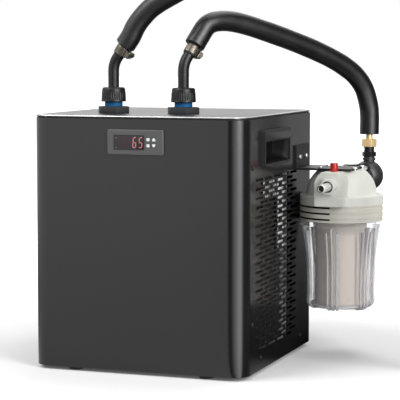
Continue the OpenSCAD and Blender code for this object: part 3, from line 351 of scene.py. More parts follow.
def placed(name, mesh, body, material, replaces):
    """An object that rides a body, fills a colour slot and stands for nodes of the model."""
    mesh.materials.clear()
    mesh.materials.append(material)
    piece = bpy.data.objects.new(name, mesh)
    bpy.context.scene.collection.objects.link(piece)
    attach(piece, body)
    if replaces:
        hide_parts(*replaces)
    return piece


def add_piece(name, shells, material, replaces=(), body="cabinet", crease=CREASE):
    """One object from shells in cabinet millimetres."""
    points, faces, count = [], [], 0
    for p, f in shells:
        points.append(p)
        faces += [[i + count for i in face] for face in f]
        count += len(p)
    mesh = bpy.data.meshes.new(name)
    mesh.from_pydata(metres(np.concatenate(points)), [], faces)
    cleaned(mesh, crease)
    return placed(name, mesh, body, material, replaces)


def eased(node, material, width=0.5):
    """A copy of a node of the model with its edges rounded by a bevel."""
    mesh = NODES[node].data.copy()
    mesh.transform(NODES[node].matrix_world)
    cleaned(mesh, CREASE, level=True)
    piece = placed(f"{node}_eased", mesh, "cabinet", material, [node])
    rounding = piece.modifiers.new("rounded edges", "BEVEL")
    rounding.width = width * MM
    rounding.segments = 3
    rounding.angle_limit = math.radians(CREASE)


# ---------------------------------------------------------------- finishes


def shade(*rgb):
    """A colour as a screen shows it, 0 to 255, as the linear values that shaders take."""
    c = np.array(rgb, float) / 255
    return tuple(np.where(c <= 0.04045, c / 12.92, ((c + 0.055) / 1.055) ** 2.4))


def join(tree, node, sockets):
    """Gives a node's sockets, by name or number, a value or a link from another node's socket."""
    for key, value in sockets.items():
        if isinstance(value, bpy.types.NodeSocket):
            tree.links.new(value, node.inputs[key])
        else:
            node.inputs[key].default_value = value


def wired(tree, kind, sockets=None, **settings):
    """A new shader node with its settings made and its sockets joined."""
    node = tree.nodes.new("ShaderNode" + kind)
    for key, value in settings.items():
        setattr(node, key, value)
    join(tree, node, sockets or {})
    return node


def mixed(tree, share, under, over):
    """The colour between two, by a share."""
    return wired(tree, "Mix", {0: share, 6: under, 7: over}, data_type="RGBA").outputs[2]


def span(tree, value, start, end, low=0, high=1):
    """A value's passage from low to high as one from start to end, held at both ends."""
    return wired(
        tree, "MapRange", {"Value": value, "From Min": low, "From Max": high, "To Min": start, "To Max": end}
    ).outputs[0]


def bumped(tree, height, strength, distance, **under):
    """A normal that a height bends, over the normal of any bump before it."""
    return wired(
        tree, "Bump", {"Strength": strength, "Distance": distance, "Height": height, **under}
    ).outputs[0]


def resurface(tree, **sockets):
    """Joins sockets of the surface, named with _ for a space, over what they had."""
    join(
        tree, tree.nodes["Principled BSDF"], {key.replace("_", " "): value for key, value in sockets.items()}
    )


def finish(
    name, colour, rough, metal=0.0, wander=0.1, patch=25.0, grain=900.0, relief=0.15, depth=0.0002,
    stretch=(1, 1, 1), more=None, **sockets
):
    """A surface whose colour and roughness wander in patches, with a fine grain that stands in relief. patch
    and grain count cells to the metre; more(tree) adds to a new material."""
    made = bpy.data.materials.get(name)
    if made:
        return made
    material = bpy.data.materials.new(name)
    material.use_nodes = True
    tree = material.node_tree
    place = wired(tree, "TexCoord").outputs["Object"]
    place = wired(tree, "Mapping", {"Scale": stretch, "Vector": place}).outputs[0]
    cloud = wired(tree, "TexNoise", {"Scale": patch, "Detail": 4, "Vector": place}).outputs["Fac"]
    dark = tuple(c * (1 - wander) for c in colour) + (1,)
    light = tuple(min(1, c * (1 + wander)) for c in colour) + (1,)
    fine = wired(tree, "TexNoise", {"Scale": grain, "Detail": 2, "Vector": place}).outputs["Fac"]
    resurface(
        tree,
        Base_Color=mixed(tree, cloud, dark, light),
        Roughness=span(tree, cloud, max(0.02, rough - 0.06), min(1, rough + 0.06)),
        Normal=bumped(tree, fine, relief, depth),
        Metallic=metal,
    )
    resurface(tree, **sockets)
    if more:
        more(tree)
    return material


FINISHES = {
    # A painted highlight: bright metal on the lid's rounded edge.
    "lid edge painted highlight": dict(
        colour=shade(226, 226, 226), rough=0.25, metal=0.9, wander=0.08, patch=40, relief=0.05
    ),
    "base pan coat": dict(colour=shade(42, 42, 43), rough=0.5, wander=0.1, grain=1200),
    "grained black plastic": dict(colour=shade(32, 32, 34), rough=0.45, wander=0.06, grain=2600, relief=0.25),
    # Darker than the handles' plastic: painted shade for the handle pockets and the grip grooves.
    "black plastic with painted shade": dict(
        colour=shade(12, 12, 13), rough=0.55, wander=0.06, patch=60, grain=2600, relief=0.2,
        Specular_IOR_Level=0.2
    ),
    "bulkhead plastic": dict(
        colour=shade(44, 45, 47), rough=0.55, wander=0.06, patch=60, grain=900, relief=0.08,
        Specular_IOR_Level=0.35
    ),
    "glossy black plastic": dict(
        colour=shade(22, 22, 23), rough=0.4, wander=0.08, patch=60, grain=400, relief=0.05,
        Specular_IOR_Level=0.3
    ),
    "black rubber": dict(colour=shade(28, 28, 28), rough=0.75, wander=0.12, grain=1800, relief=0.3),
    "brushed stainless steel": dict(
        colour=shade(106, 101, 91), rough=0.36, metal=0.85, wander=0.12, patch=120, grain=900, relief=0.1,
        stretch=(1, 1, 6)
    ),
    "zinc plated screw": dict(
        colour=shade(232, 232, 230), rough=0.3, metal=0.8, wander=0.08, patch=200, relief=0.05
    ),
    "galvanised sheet": dict(
        colour=shade(244, 245, 246), rough=0.4, metal=0.1, wander=0.15, patch=70, grain=300, relief=0.1
    ),
    "machined brass": dict(
        colour=shade(246, 214, 158), rough=0.4, metal=0.45, wander=0.1, patch=90, grain=1500,
        stretch=(1, 1, 8)
    ),
    "drawn copper": dict(colour=shade(124, 92, 72), rough=0.32, metal=1.0, wander=0.2, patch=60),
    "white fitting plastic": dict(
        colour=shade(222, 222, 216), rough=0.4, wander=0.03, patch=40, grain=1500, relief=0.06
    ),
    "red button plastic": dict(colour=shade(200, 40, 36), rough=0.32, wander=0.06, patch=90),
    "blackened screw steel": dict(
        colour=shade(38, 38, 40), rough=0.35, metal=0.5, wander=0.15, patch=200, relief=0.05
    ),
    "lever coat": dict(
        colour=shade(15, 15, 16), rough=0.4, wander=0.08, patch=60, grain=900, relief=0.08,
        Specular_IOR_Level=0.3
    ),
    "bracket coat": dict(
        colour=shade(28, 28, 29), rough=0.45, wander=0.08, patch=20, grain=1400, relief=0.12, depth=0.0001,
        Specular_IOR_Level=0.35
    ),
    "valve plastic": dict(
        colour=shade(44, 44, 45), rough=0.42, wander=0.06, patch=50, grain=500, relief=0.06
    ),
    "motor paint": dict(colour=shade(52, 53, 55), rough=0.45, wander=0.1, patch=40),
    "tank lagging": dict(
        colour=shade(34, 34, 36), rough=0.85, wander=0.2, patch=40, grain=600, relief=0.4, depth=0.0004
    ),
    "controller plastic": dict(
        colour=shade(80, 80, 81), rough=0.45, wander=0.05, patch=60, grain=3000, relief=0.2
    ),
    "smoked display window": dict(colour=shade(26, 24, 30), rough=0.12, wander=0.05, patch=60, relief=0.0),
}


def coat(name):
    """One of the plain finishes."""
    return finish(name, **FINISHES[name])


def paint():
    colour = tuple(bpy.context.scene.chiller_colours.cabinet)
    return finish(
        "cabinet powder coat", colour, 0.18, wander=0.06, patch=9, grain=1400, relief=0.12, depth=0.0001
    )


def lid_paint():
    colour = tuple(1.25 * v for v in bpy.context.scene.chiller_colours.cabinet)
    return finish("lid powder coat", colour, 0.3, wander=0.06, patch=9, grain=1400, relief=0.08, depth=0.0001)


def foam():
    """Closed cell foam: small rounded cells in relief under a soft, patchy black."""

    def pores(tree):
        cells = wired(tree, "TexVoronoi", {"Scale": 900, "Vector": tree.nodes["Mapping"].outputs[0]})
        resurface(
            tree,
            Normal=bumped(tree, cells.outputs["Distance"], 0.3, 0.0003, Normal=tree.nodes["Bump"].outputs[0])
        )

    colour = tuple(bpy.context.scene.chiller_colours.foam)
    return finish(
        "closed cell foam", colour, 0.36, wander=0.25, patch=35, grain=700, relief=0.35, depth=0.0004,
        more=pores
    )


def blue_rubber():
    return finish(
        "blue seal rubber", tuple(bpy.context.scene.chiller_colours.ring), 0.6, wander=0.1, patch=80,
        Specular_IOR_Level=0.3
    )


def aluminium():
    """A fin pack seen edge on: a lighter band every 8 millimetres along y, sharpened from a sine wave, with
    dark gaps between, painted shade where the gaps run deep between the fins; the dark varies in patches."""

    def bands(tree):
        fins = wired(
            tree, "TexWave", {"Scale": 39.4, "Vector": tree.nodes["Mapping"].outputs[0]}, bands_direction="Y"
        )
        line = span(tree, fins.outputs["Fac"], 0, 1, low=0.6, high=0.92)
        resurface(tree, Base_Color=mixed(tree, line, tree.nodes["Mix"].outputs[2], (0.12, 0.115, 0.11, 1)))

    return finish(
        "fin pack painted gap shade", shade(38, 34, 31), 0.4, metal=0.3, wander=0.3, patch=60, grain=500, more=bands
    )


def cap_plastic():
    """Pale plastic, slightly beige and darker on the grooved skirt: the colour passes over between two
    heights."""

    def skirt(tree):
        part = wired(tree, "SeparateXYZ", {0: tree.nodes["Texture Coordinate"].outputs["Object"]})
        share = span(tree, part.outputs["Z"], 0.75, 0.0, low=0.2185, high=0.2205)
        resurface(tree, Base_Color=mixed(tree, share, tree.nodes["Mix"].outputs[2], (0.64, 0.615, 0.535, 1)))

    colour = tuple(bpy.context.scene.chiller_colours.cap)
    return finish("pale filter cap", colour, 0.45, wander=0.05, patch=30, grain=1500, relief=0.06, more=skirt)


def media():
    """Wound yarn: slanting threads in relief."""

    def threads(tree):
        place = tree.nodes["Mapping"].outputs[0]
        wave = wired(
            tree, "TexWave", {"Scale": 95, "Distortion": 2.5, "Detail Scale": 3, "Vector": place},
            bands_direction="Z"
        )
        resurface(
            tree, Normal=bumped(tree, wave.outputs["Fac"], 0.12, 0.0003, Normal=tree.nodes["Bump"].outputs[0])
        )

    return finish(
        "wound filter yarn", shade(242, 232, 222), 0.85, wander=0.05, patch=50, grain=1600, relief=0.2,
        more=threads
    )


def clear(
    name="clear bowl plastic", middle=shade(226, 226, 230), edge=shade(222, 215, 228), low=0.04, high=0.42,
    blend=0.35
):
    """Clear moulded plastic: nearly all see-through face on, fuller and greyer where it is seen along its
    wall."""

    def rim(tree):
        facing = wired(tree, "LayerWeight", {"Blend": blend}).outputs["Facing"]
        tint = mixed(tree, facing, tree.nodes["Mix"].outputs[2], (*edge, 1))
        resurface(tree, Alpha=span(tree, facing, low, high), Base_Color=tint)

    return finish(name, middle, 0.1, wander=0.02, patch=20, grain=300, relief=0.03, more=rim)


def clear_rib():
    """The same plastic where it is thick: white across a rib's middle and greyer along its sides, as a rod
    bends light."""
    return clear("clear ribs", shade(252, 251, 254), shade(160, 154, 162), 0.45, 0.92, 0.5)


def glowing(name, colour, strength):
    """A surface that also gives light of its own colour."""
    light = {"Emission_Color": (*colour, 1), "Emission_Strength": strength}
    return finish(name, colour, 0.4, wander=0.1, patch=300, relief=0.0, **light)


def dress(material, *nodes):
    """Gives nodes of the model their finish."""
    for node in nodes:
        mesh = NODES[node].data
        mesh.materials.clear()
        mesh.materials.append(material)


# ---------------------------------------------------------------- sizes and colours


def colour_property(name, description, default):
    return FloatVectorProperty(
        name=name, description=description, subtype="COLOR", size=3, default=default, min=0, max=1
    )


class ChillerColours(bpy.types.PropertyGroup):
    cabinet: colour_property("Cabinet", "Powder coat of the cabinet", (0.012, 0.012, 0.0125))
    foam: colour_property("Foam", "Foam round the hoses", (0.006, 0.006, 0.0065))
    ring: colour_property("Seal rings", "Rubber rings under the union nuts", (0.003, 0.1, 0.28))
    cap: colour_property("Filter cap", "Plastic of the filter cap", (0.76, 0.77, 0.71))
    digits: colour_property("Digits", "Light of the display", (0.5, 0.14, 0.17))


class ChillerSizes(bpy.types.PropertyGroup):
    foam_radius: FloatProperty(
        name="Foam radius", description="Half the width of a covered hose", default=0.0145,
        subtype="DISTANCE", unit="LENGTH"
    )
    nut_ribs: IntProperty(
        name="Nut ribs", description="Grip ribs on each union nut", default=36, min=8, max=48
    )
    reading: StringProperty(name="Reading", description="Number on the display", default="65")
    camera_lens: FloatProperty(
        name="Lens", description="Focal length of the camera", default=0.1501, subtype="DISTANCE_CAMERA",
        unit="CAMERA"
    )


# ---------------------------------------------------------------- stage and hoses


# The photograph's camera: its place, its turn to the left and its tilt down.
EYE = (842.59, -2224.82, 446.23)
YAW, PITCH = math.radians(19.907), math.radians(5.292)

# Lamps: name, place, what it faces, width and height (all in metres), watts. The mirrored one shows only in
# reflections.
LAMPS = (
    ("soft light left", (-2.0, -1.7, 2.7), (0, 0, 0.2), (2.2, 2.2), 72),
    ("soft light right", (1.95, -1.4, 1.1), (0.14, -0.14, 0.2), (0.9, 1.6), 48),
    ("soft light above", (0.3, 0.9, 2.6), (0.1, 0, 0), (1.6, 1.6), 20),
    ("mirrored rim", (-1.0, 2.6, 2.2), (0, 0, 0.35), (2.4, 0.6), 16),
)

# What mirrored rays see of the room: degrees from the front towards the right, and brightness. On the floor
# the
# directions count from the cabinet's front right corner.
ROOM = (
    (-180, 1.0), (-100, 1.0), (-60, 1.25), (-19, 1.2), (-9, 0.0), (4, 0.0), (60, 4.3), (68, 4.1),
    (88, 0.0), (130, 0.0), (150, 0.2), (165, 0.34), (180, 0.9),
)
ROOM_TOP = 5
ROOM_MIDDLE = (152, -150, 0)


def maths(tree, operation, *values):
    """A sum of values or sockets, as a socket."""
    return wired(tree, "Math", dict(enumerate(values)), operation=operation).outputs[0]


class CHILLER_OT_stage(bpy.types.Operator):
    """Sets up the pale floor, the soft lights and the camera at the photograph's angle"""

    bl_idname = "chiller.stage"
    bl_label = "Stage"

    def execute(self, context):
        scene = context.scene
        scene.view_settings.view_transform = "Standard"
        ahead = Vector((-math.sin(YAW) * math.cos(PITCH), math.cos(YAW) * math.cos(PITCH), -math.sin(PITCH)))
        right = ahead.cross(Vector((0, 0, 1))).normalized()
        camera = bpy.data.cameras.new("camera")
        camera.lens = scene.chiller_sizes.camera_lens * 1000
        camera.sensor_width = 36
        camera.clip_end = 50
        seat = bpy.data.objects.new("camera", camera)
        turn = Matrix((right, right.cross(ahead), -ahead)).transposed().to_4x4()
        seat.matrix_world = Matrix.Translation(metres(EYE)) @ turn
        scene.collection.objects.link(seat)
        scene.camera = seat
        for name, spot, target, size, power in LAMPS:
            lamp = bpy.data.lights.new(name, "AREA")
            lamp.shape = "RECTANGLE"
            lamp.size, lamp.size_y = size
            lamp.energy = power
            holder = bpy.data.objects.new(name, lamp)
            holder.location = spot
            holder.rotation_euler = (Vector(target) - Vector(spot)).to_track_quat("-Z", "Y").to_euler()
            holder.visible_diffuse = not name.startswith("mirrored")
            scene.collection.objects.link(holder)
        floor_mesh = bpy.data.meshes.new("floor")
        floor_mesh.from_pydata([(-14, -8, 0), (14, -8, 0), (14, 20, 0), (-14, 20, 0)], [], [(0, 1, 2, 3)])
        floor = bpy.data.objects.new("floor", floor_mesh)
        scene.collection.objects.link(floor)
        floor_mesh.materials.append(self.floor_finish())
        self.sky(scene)
        return {"FINISHED"}

    def compass(self, tree, direction):
        """Brightness of the room that mirrored rays see, by the compass direction of a vector: the angle from
        the front, wrapped once round, through a ramp."""
        part = wired(tree, "SeparateXYZ", {0: direction})
        turn = maths(tree, "ARCTAN2", part.outputs["X"], maths(tree, "MULTIPLY", part.outputs["Y"], -1))
        room = wired(tree, "ValToRGB", {0: span(tree, turn, 0, 1, low=-math.pi, high=math.pi)})
        ramp = room.color_ramp.elements
        for degrees, _ in ROOM[1:-1]:
            ramp.new((degrees + 180) / 360)
        for stop, (_, level) in zip(ramp, ROOM):
            stop.color = (*[level / ROOM_TOP] * 3, 1)
        return maths(tree, "MULTIPLY", room.outputs["Color"], ROOM_TOP)

    def seen_white(self, tree, rays):
        """One for rays that come from the camera or through clear plastic."""
        return maths(tree, "MAXIMUM", rays["Is Camera Ray"], rays["Is Transmission Ray"])

    def floor_finish(self):
        """Pale floor. The camera sees its shadows near the object and plain white far away; mirrored rays see
        the room's brightness by the direction from the cabinet's corner, dimmer near the object's rear and a
        little at its left, a painted shadow of the object that only mirrored rays see; other rays see a
        greyer floor."""
        material = finish(
            "pale floor", (0.9, 0.9, 0.9), 0.9, wander=0.01, patch=2, grain=200, relief=0.0,
            Specular_IOR_Level=0.0
        )
        tree = material.node_tree
        place = tree.nodes["Texture Coordinate"].outputs["Object"]
        rays = wired(tree, "LightPath").outputs
        reach = wired(tree, "VectorMath", {0: place}, operation="LENGTH").outputs["Value"]
        glow = wired(tree, "Emission", {"Strength": span(tree, reach, 0.05, 1, low=0.3, high=1.5)})
        shown = wired(tree, "AddShader", {0: tree.nodes["Principled BSDF"].outputs[0], 1: glow.outputs[0]})
        part = wired(tree, "SeparateXYZ", {0: place}).outputs
        # Painted shadow for mirrored rays: the floor's reflected brightness falls near the object, most
        # behind it.
        near = span(tree, reach, 1, 0, low=0.2, high=3.2)
        rear = span(tree, part["Y"], 0.03, 1, low=-0.2, high=0)
        left = span(tree, part["X"], 0.3, 0, low=0, high=0.35)
        dark = maths(tree, "MULTIPLY", near, maths(tree, "MAXIMUM", rear, left))
        from_corner = wired(
            tree, "VectorMath", {0: place, 1: metres(ROOM_MIDDLE)}, operation="SUBTRACT"
        ).outputs[0]
        level = maths(tree, "MULTIPLY", self.compass(tree, from_corner), maths(tree, "SUBTRACT", 1, dark))
        mirrored = wired(tree, "Emission", {"Strength": level}).outputs[0]
        grey = wired(tree, "BsdfDiffuse", {"Color": (0.4, 0.4, 0.4, 1)}).outputs[0]
        unseen = wired(tree, "MixShader", {0: rays["Is Glossy Ray"], 1: grey, 2: mirrored}).outputs[0]
        pick = wired(tree, "MixShader", {0: self.seen_white(tree, rays), 1: unseen, 2: shown.outputs[0]})
        join(tree, tree.nodes["Material Output"], {"Surface": pick.outputs[0]})
        return material

    def sky(self, scene):
        """White for the camera and through clear plastic, softer as light, and for mirrored rays a room whose
        brightness follows the compass."""
        world = bpy.data.worlds.new("sky")
        scene.world = world
        world.use_nodes = True
        tree = world.node_tree
        rays = wired(tree, "LightPath").outputs
        room = self.compass(tree, wired(tree, "TexCoord").outputs["Generated"])
        light = wired(tree, "Mix", {"A": 0.4, "B": room, "Factor": rays["Is Glossy Ray"]})
        level = wired(tree, "Mix", {"A": light.outputs[0], "B": 1.0, "Factor": self.seen_white(tree, rays)})
        join(tree, tree.nodes["Background"], {"Color": (1, 1, 1, 1), "Strength": level.outputs[0]})


def leaning(union, along, across=0.0):
    """A point on a union's leaning axis, as far along it from the elbow and across it as given."""
    x, turn = UNIONS[union]
    a = math.radians(turn)
    run = along * math.sin(LEAN) + across * math.cos(LEAN)
    return np.array([
        x + run * math.cos(a), UNION_Y + run * math.sin(a),
        ELBOW_Z + along * math.cos(LEAN) - across * math.sin(LEAN)
    ])


def sideways(union):
    """The level direction square to the upright plane that a union's elbow faces."""
    a = math.radians(UNIONS[union][1])
    return (-math.sin(a), math.cos(a), 0)


def lean_axis(union):
    """The direction of a union's leaning axis."""
    return leaning(union, 1) - leaning(union, 0)


def lean_frame(union):
    """Carries a shell to a union's leaning axis, its own x across that axis in the elbow's plane."""
    return dict(origin=leaning(union, 0), z=lean_axis(union), x=leaning(union, 0, 1) - leaning(union, 0))


def route_points(union, plan):
    """Points given as run and height in the upright plane that the union's elbow faces."""
    x, turn = UNIONS[union]
    a = math.radians(turn)
    plan = np.asarray(plan, float)
    return np.stack([x + plan[:, 0] * math.cos(a), UNION_Y + plan[:, 0] * math.sin(a), plan[:, 1]], -1)


# The foam's routes: shares of the run and of the height between a union and where its hose arrives.
HOSE_RUN = math.hypot(VALVE[0] - UNIONS["right"][0], VALVE[1] - UNION_Y)
FOAM_END_Z = RISER_TOP + 7 + 7.5 + 11.5 + 7.5
FILTER_SHARES = np.array([
    (0.1229, 0.507), (0.1905, 0.5587), (0.2827, 0.5352), (0.4178, 0.4319), (0.5776, 0.2864), (0.7159, 0.1408),
    (0.8295, -0.0094), (0.9125, -0.169), (0.9663, -0.3568), (0.9924, -0.5728)
])
OUTLET_SHARES = np.array([
    (0.0754, 0.325), (0.102, 0.4188), (0.1419, 0.5125), (0.2217, 0.6312), (0.3104, 0.75), (0.4213, 0.8625),
    (0.5322, 0.9375), (0.643, 0.9875), (0.7428, 1), (0.8714, 0.9031), (0.9656, 0.6375), (1, 0.275),
    (1, -0.1313), (1, -0.7562), (1, -1.3813)
])
ARCH = (451, 160)
FOAM_WIDTH = 29
# The turn on the floor: the bend that leads into it, its first radius, and how far it draws in on one turn.
FOOT_BEND, COIL_RADIUS, COIL_STEP = 116, 150, 38
COIL_Z = 14.8
COIL_START = np.array([377.0, 65.0, COIL_Z])
COIL_AXIS = np.array([527.0, 94.0, COIL_Z])
COIL_TAIL = [(-108, 30), (-94, 58), (-70, 77), (-40, 84), (-25, 84), (-11, 84)]


def foam_start():
    """The straight start of a foam cover, as runs and heights along the leaning axis."""
    return [(s * math.sin(LEAN), ELBOW_Z + s * math.cos(LEAN)) for s in (FOAM_FROM, FOAM_STRAIGHT)]


def filter_path():
    """The photographed route: out of the right union, over, and straight down to the brass connector."""
    middle = FILTER_SHARES * (HOSE_RUN, ELBOW_Z - FOAM_END_Z) + (0, ELBOW_Z)
    last = [(HOSE_RUN, FOAM_END_Z + 29), (HOSE_RUN, FOAM_END_Z)]
    return smooth(route_points("right", np.concatenate([foam_start(), middle, last])), 8)


def outlet_path():
    """The arch over the cabinet, down to the floor, and one turn that draws inwards as its angle grows."""
    arch = route_points("left", np.concatenate([foam_start(), OUTLET_SHARES * ARCH + (0, ELBOW_Z)]))
    a = np.radians(np.arange(0, 76, 15))
    foot = COIL_START + FOOT_BEND * np.stack([0 * a, -np.cos(a), 1 - np.sin(a)], -1)
    b = np.radians(np.arange(0, 361, 15))
    r = COIL_RADIUS - COIL_STEP * b / TURN
    ring = COIL_AXIS + np.stack([-r * np.cos(b), r * np.sin(b), 0 * b], -1)
    tail = COIL_AXIS + np.concatenate([COIL_TAIL, np.zeros((len(COIL_TAIL), 1))], 1)
    return smooth(np.concatenate([arch, foot, [COIL_START], [COIL_START + (0, 14.5, 0)], ring, tail]), 4)


def foam_cover(path, start_bore, end_bore, radius):
    """The line and radii of a path's foam cover, which step in at both cut faces, and the directions of its
    two ends."""
    way0 = (path[1] - path[0]) / np.linalg.norm(path[1] - path[0])
    way1 = (path[-1] - path[-2]) / np.linalg.norm(path[-1] - path[-2])
    head = [path[0] + way0 * s for s in (5.0, 0.0, 0.01, 0.8)]
    tail = [path[-1] - way1 * s for s in (0.8, 0.01, 0.0, 5.0)]
    inner = path[(np.linalg.norm(path - path[0], axis=1) > 6) & (np.linalg.norm(path - path[-1], axis=1) > 6)]
    line = np.concatenate([head, inner, tail])
    radii = np.concatenate([
        [start_bore, start_bore, radius - 0.7, radius - 0.1], np.full(len(inner), radius - 0.1),
        [radius - 0.1, radius - 0.7, end_bore, end_bore]
    ])
    return line, radii, way0, way1


def foam_shell(path, start_bore, end_bore, radius, side):
    """The foam cover's rings: circles of the given radii square to the path, swelling a little in slow waves,
    with the two cut faces square to its ends."""
    line, radii, way0, way1 = foam_cover(path, start_bore, end_bore, radius)
    way = np.gradient(line, axis=0)
    way[:4], way[-4:] = way0, way1
    way /= np.linalg.norm(way, axis=1, keepdims=True)
    side = side(line) if callable(side) else np.broadcast_to(np.asarray(side, float), line.shape)
    u = np.cross(side, way)
    u /= np.linalg.norm(u, axis=1, keepdims=True)
    v = np.cross(way, u)
    angle = np.arange(36) * TURN / 36
    run = np.concatenate([[0], np.cumsum(np.linalg.norm(np.diff(line, axis=0), axis=1))])
    swell = 0.10 * np.sin(run / 11)[:, None] * np.sin(
        2 * angle + 1
    )[None, :] + 0.08 * np.sin(run / 4.3 + 2)[:, None] * np.sin(3 * angle)[None, :]
    r = radii[:, None] + swell * (radii[:, None] > radius - 0.2)
    ring = r[..., None] * (
        np.cos(angle)[None, :, None] * u[:, None] + np.sin(angle)[None, :, None] * v[:, None]
    )
    return rings(line[:, None] + ring)


def outlet_side(line):
    """A vector across the outlet hose at each point: level on the arch and the leg, upright once the hose
    lies on the floor."""
    share = np.clip((60 - line[:, 2]) / 40, 0, 1)[:, None]
    return (1 - share) * np.array([1.0, -1.0, 0.0]) + share * np.array([0.0, 0.0, 1.4])


class CHILLER_OT_hoses(bpy.types.Operator):
    """Makes the two foam-covered hoses and the connector at the free one's end"""

    bl_idname = "chiller.hoses"
    bl_label = "Hoses"

    def execute(self, context):
        radius = context.scene.chiller_sizes.foam_radius * 1000
        path = filter_path()
        hose = add_piece(
            "filter_hose_foam", [foam_shell(path, 9.0, 5.2, radius, sideways("right"))], foam(),
            ["filter_hose"]
        )
        self.declare(hose, path, "object", "loose")
        path = outlet_path()
        hose = add_piece(
            "outlet_hose_foam", [foam_shell(path, 9.0, 8.2, radius, outlet_side)], foam(),
            ["outlet_hose", "outlet_hose_coil"]
        )
        plug = self.plug(path[-1])
        strap = self.strap()
        self.declare(hose, path, "connector", "coiled", [plug, strap])
        return {"FINISHED"}

    def declare(self, hose, path, far_end, lay, pieces=()):
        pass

    def plug(self, end):
        """A turned brass connector: flange, grip, and a mouth with a chamfer."""
        profile = [
            (0, 5.9), (5, 6.1), (5, 29.2), (5.8, 30), (7.4, 30), (8, 29.3), (8, 21), (7.2, 20.4), (7.2, 19.4),
            (8, 18.8), (8, 5.6), (10.4, 5.2), (11, 4.6), (11, 0.8), (10.4, 0.2), (0, 0.2)
        ]
        return add_piece(
            "hose_plug", [moved(turned(profile, 48), end, z=(1, 0, 0), x=(0, 0, 1))],
            coat("machined brass"), ["hose_connector"]
        )

    def strap(self):
        """A strap round the two strands of the turn: a stadium outline carried from its inner to its outer
        size."""
        width = FOAM_WIDTH + COIL_STEP + 2
        outline = oblong(width, 29.4, 14.6, 10)
        b = math.radians(8)
        ring = stacked(outline, [(0.2, -7), (-0.9, -7), (-0.9, 7), (0.2, 7)], closed=True)
        between = COIL_RADIUS - COIL_STEP / 2
        middle = COIL_AXIS + np.array([-between * math.cos(b), between * math.sin(b), 0])
        return add_piece(
            "coil_strap",
            [moved(ring, middle, z=(math.sin(b), math.cos(b), 0), x=(math.cos(b), -math.sin(b), 0))],
            coat("black rubber")
        )


# ---------------------------------------------------------------- unions


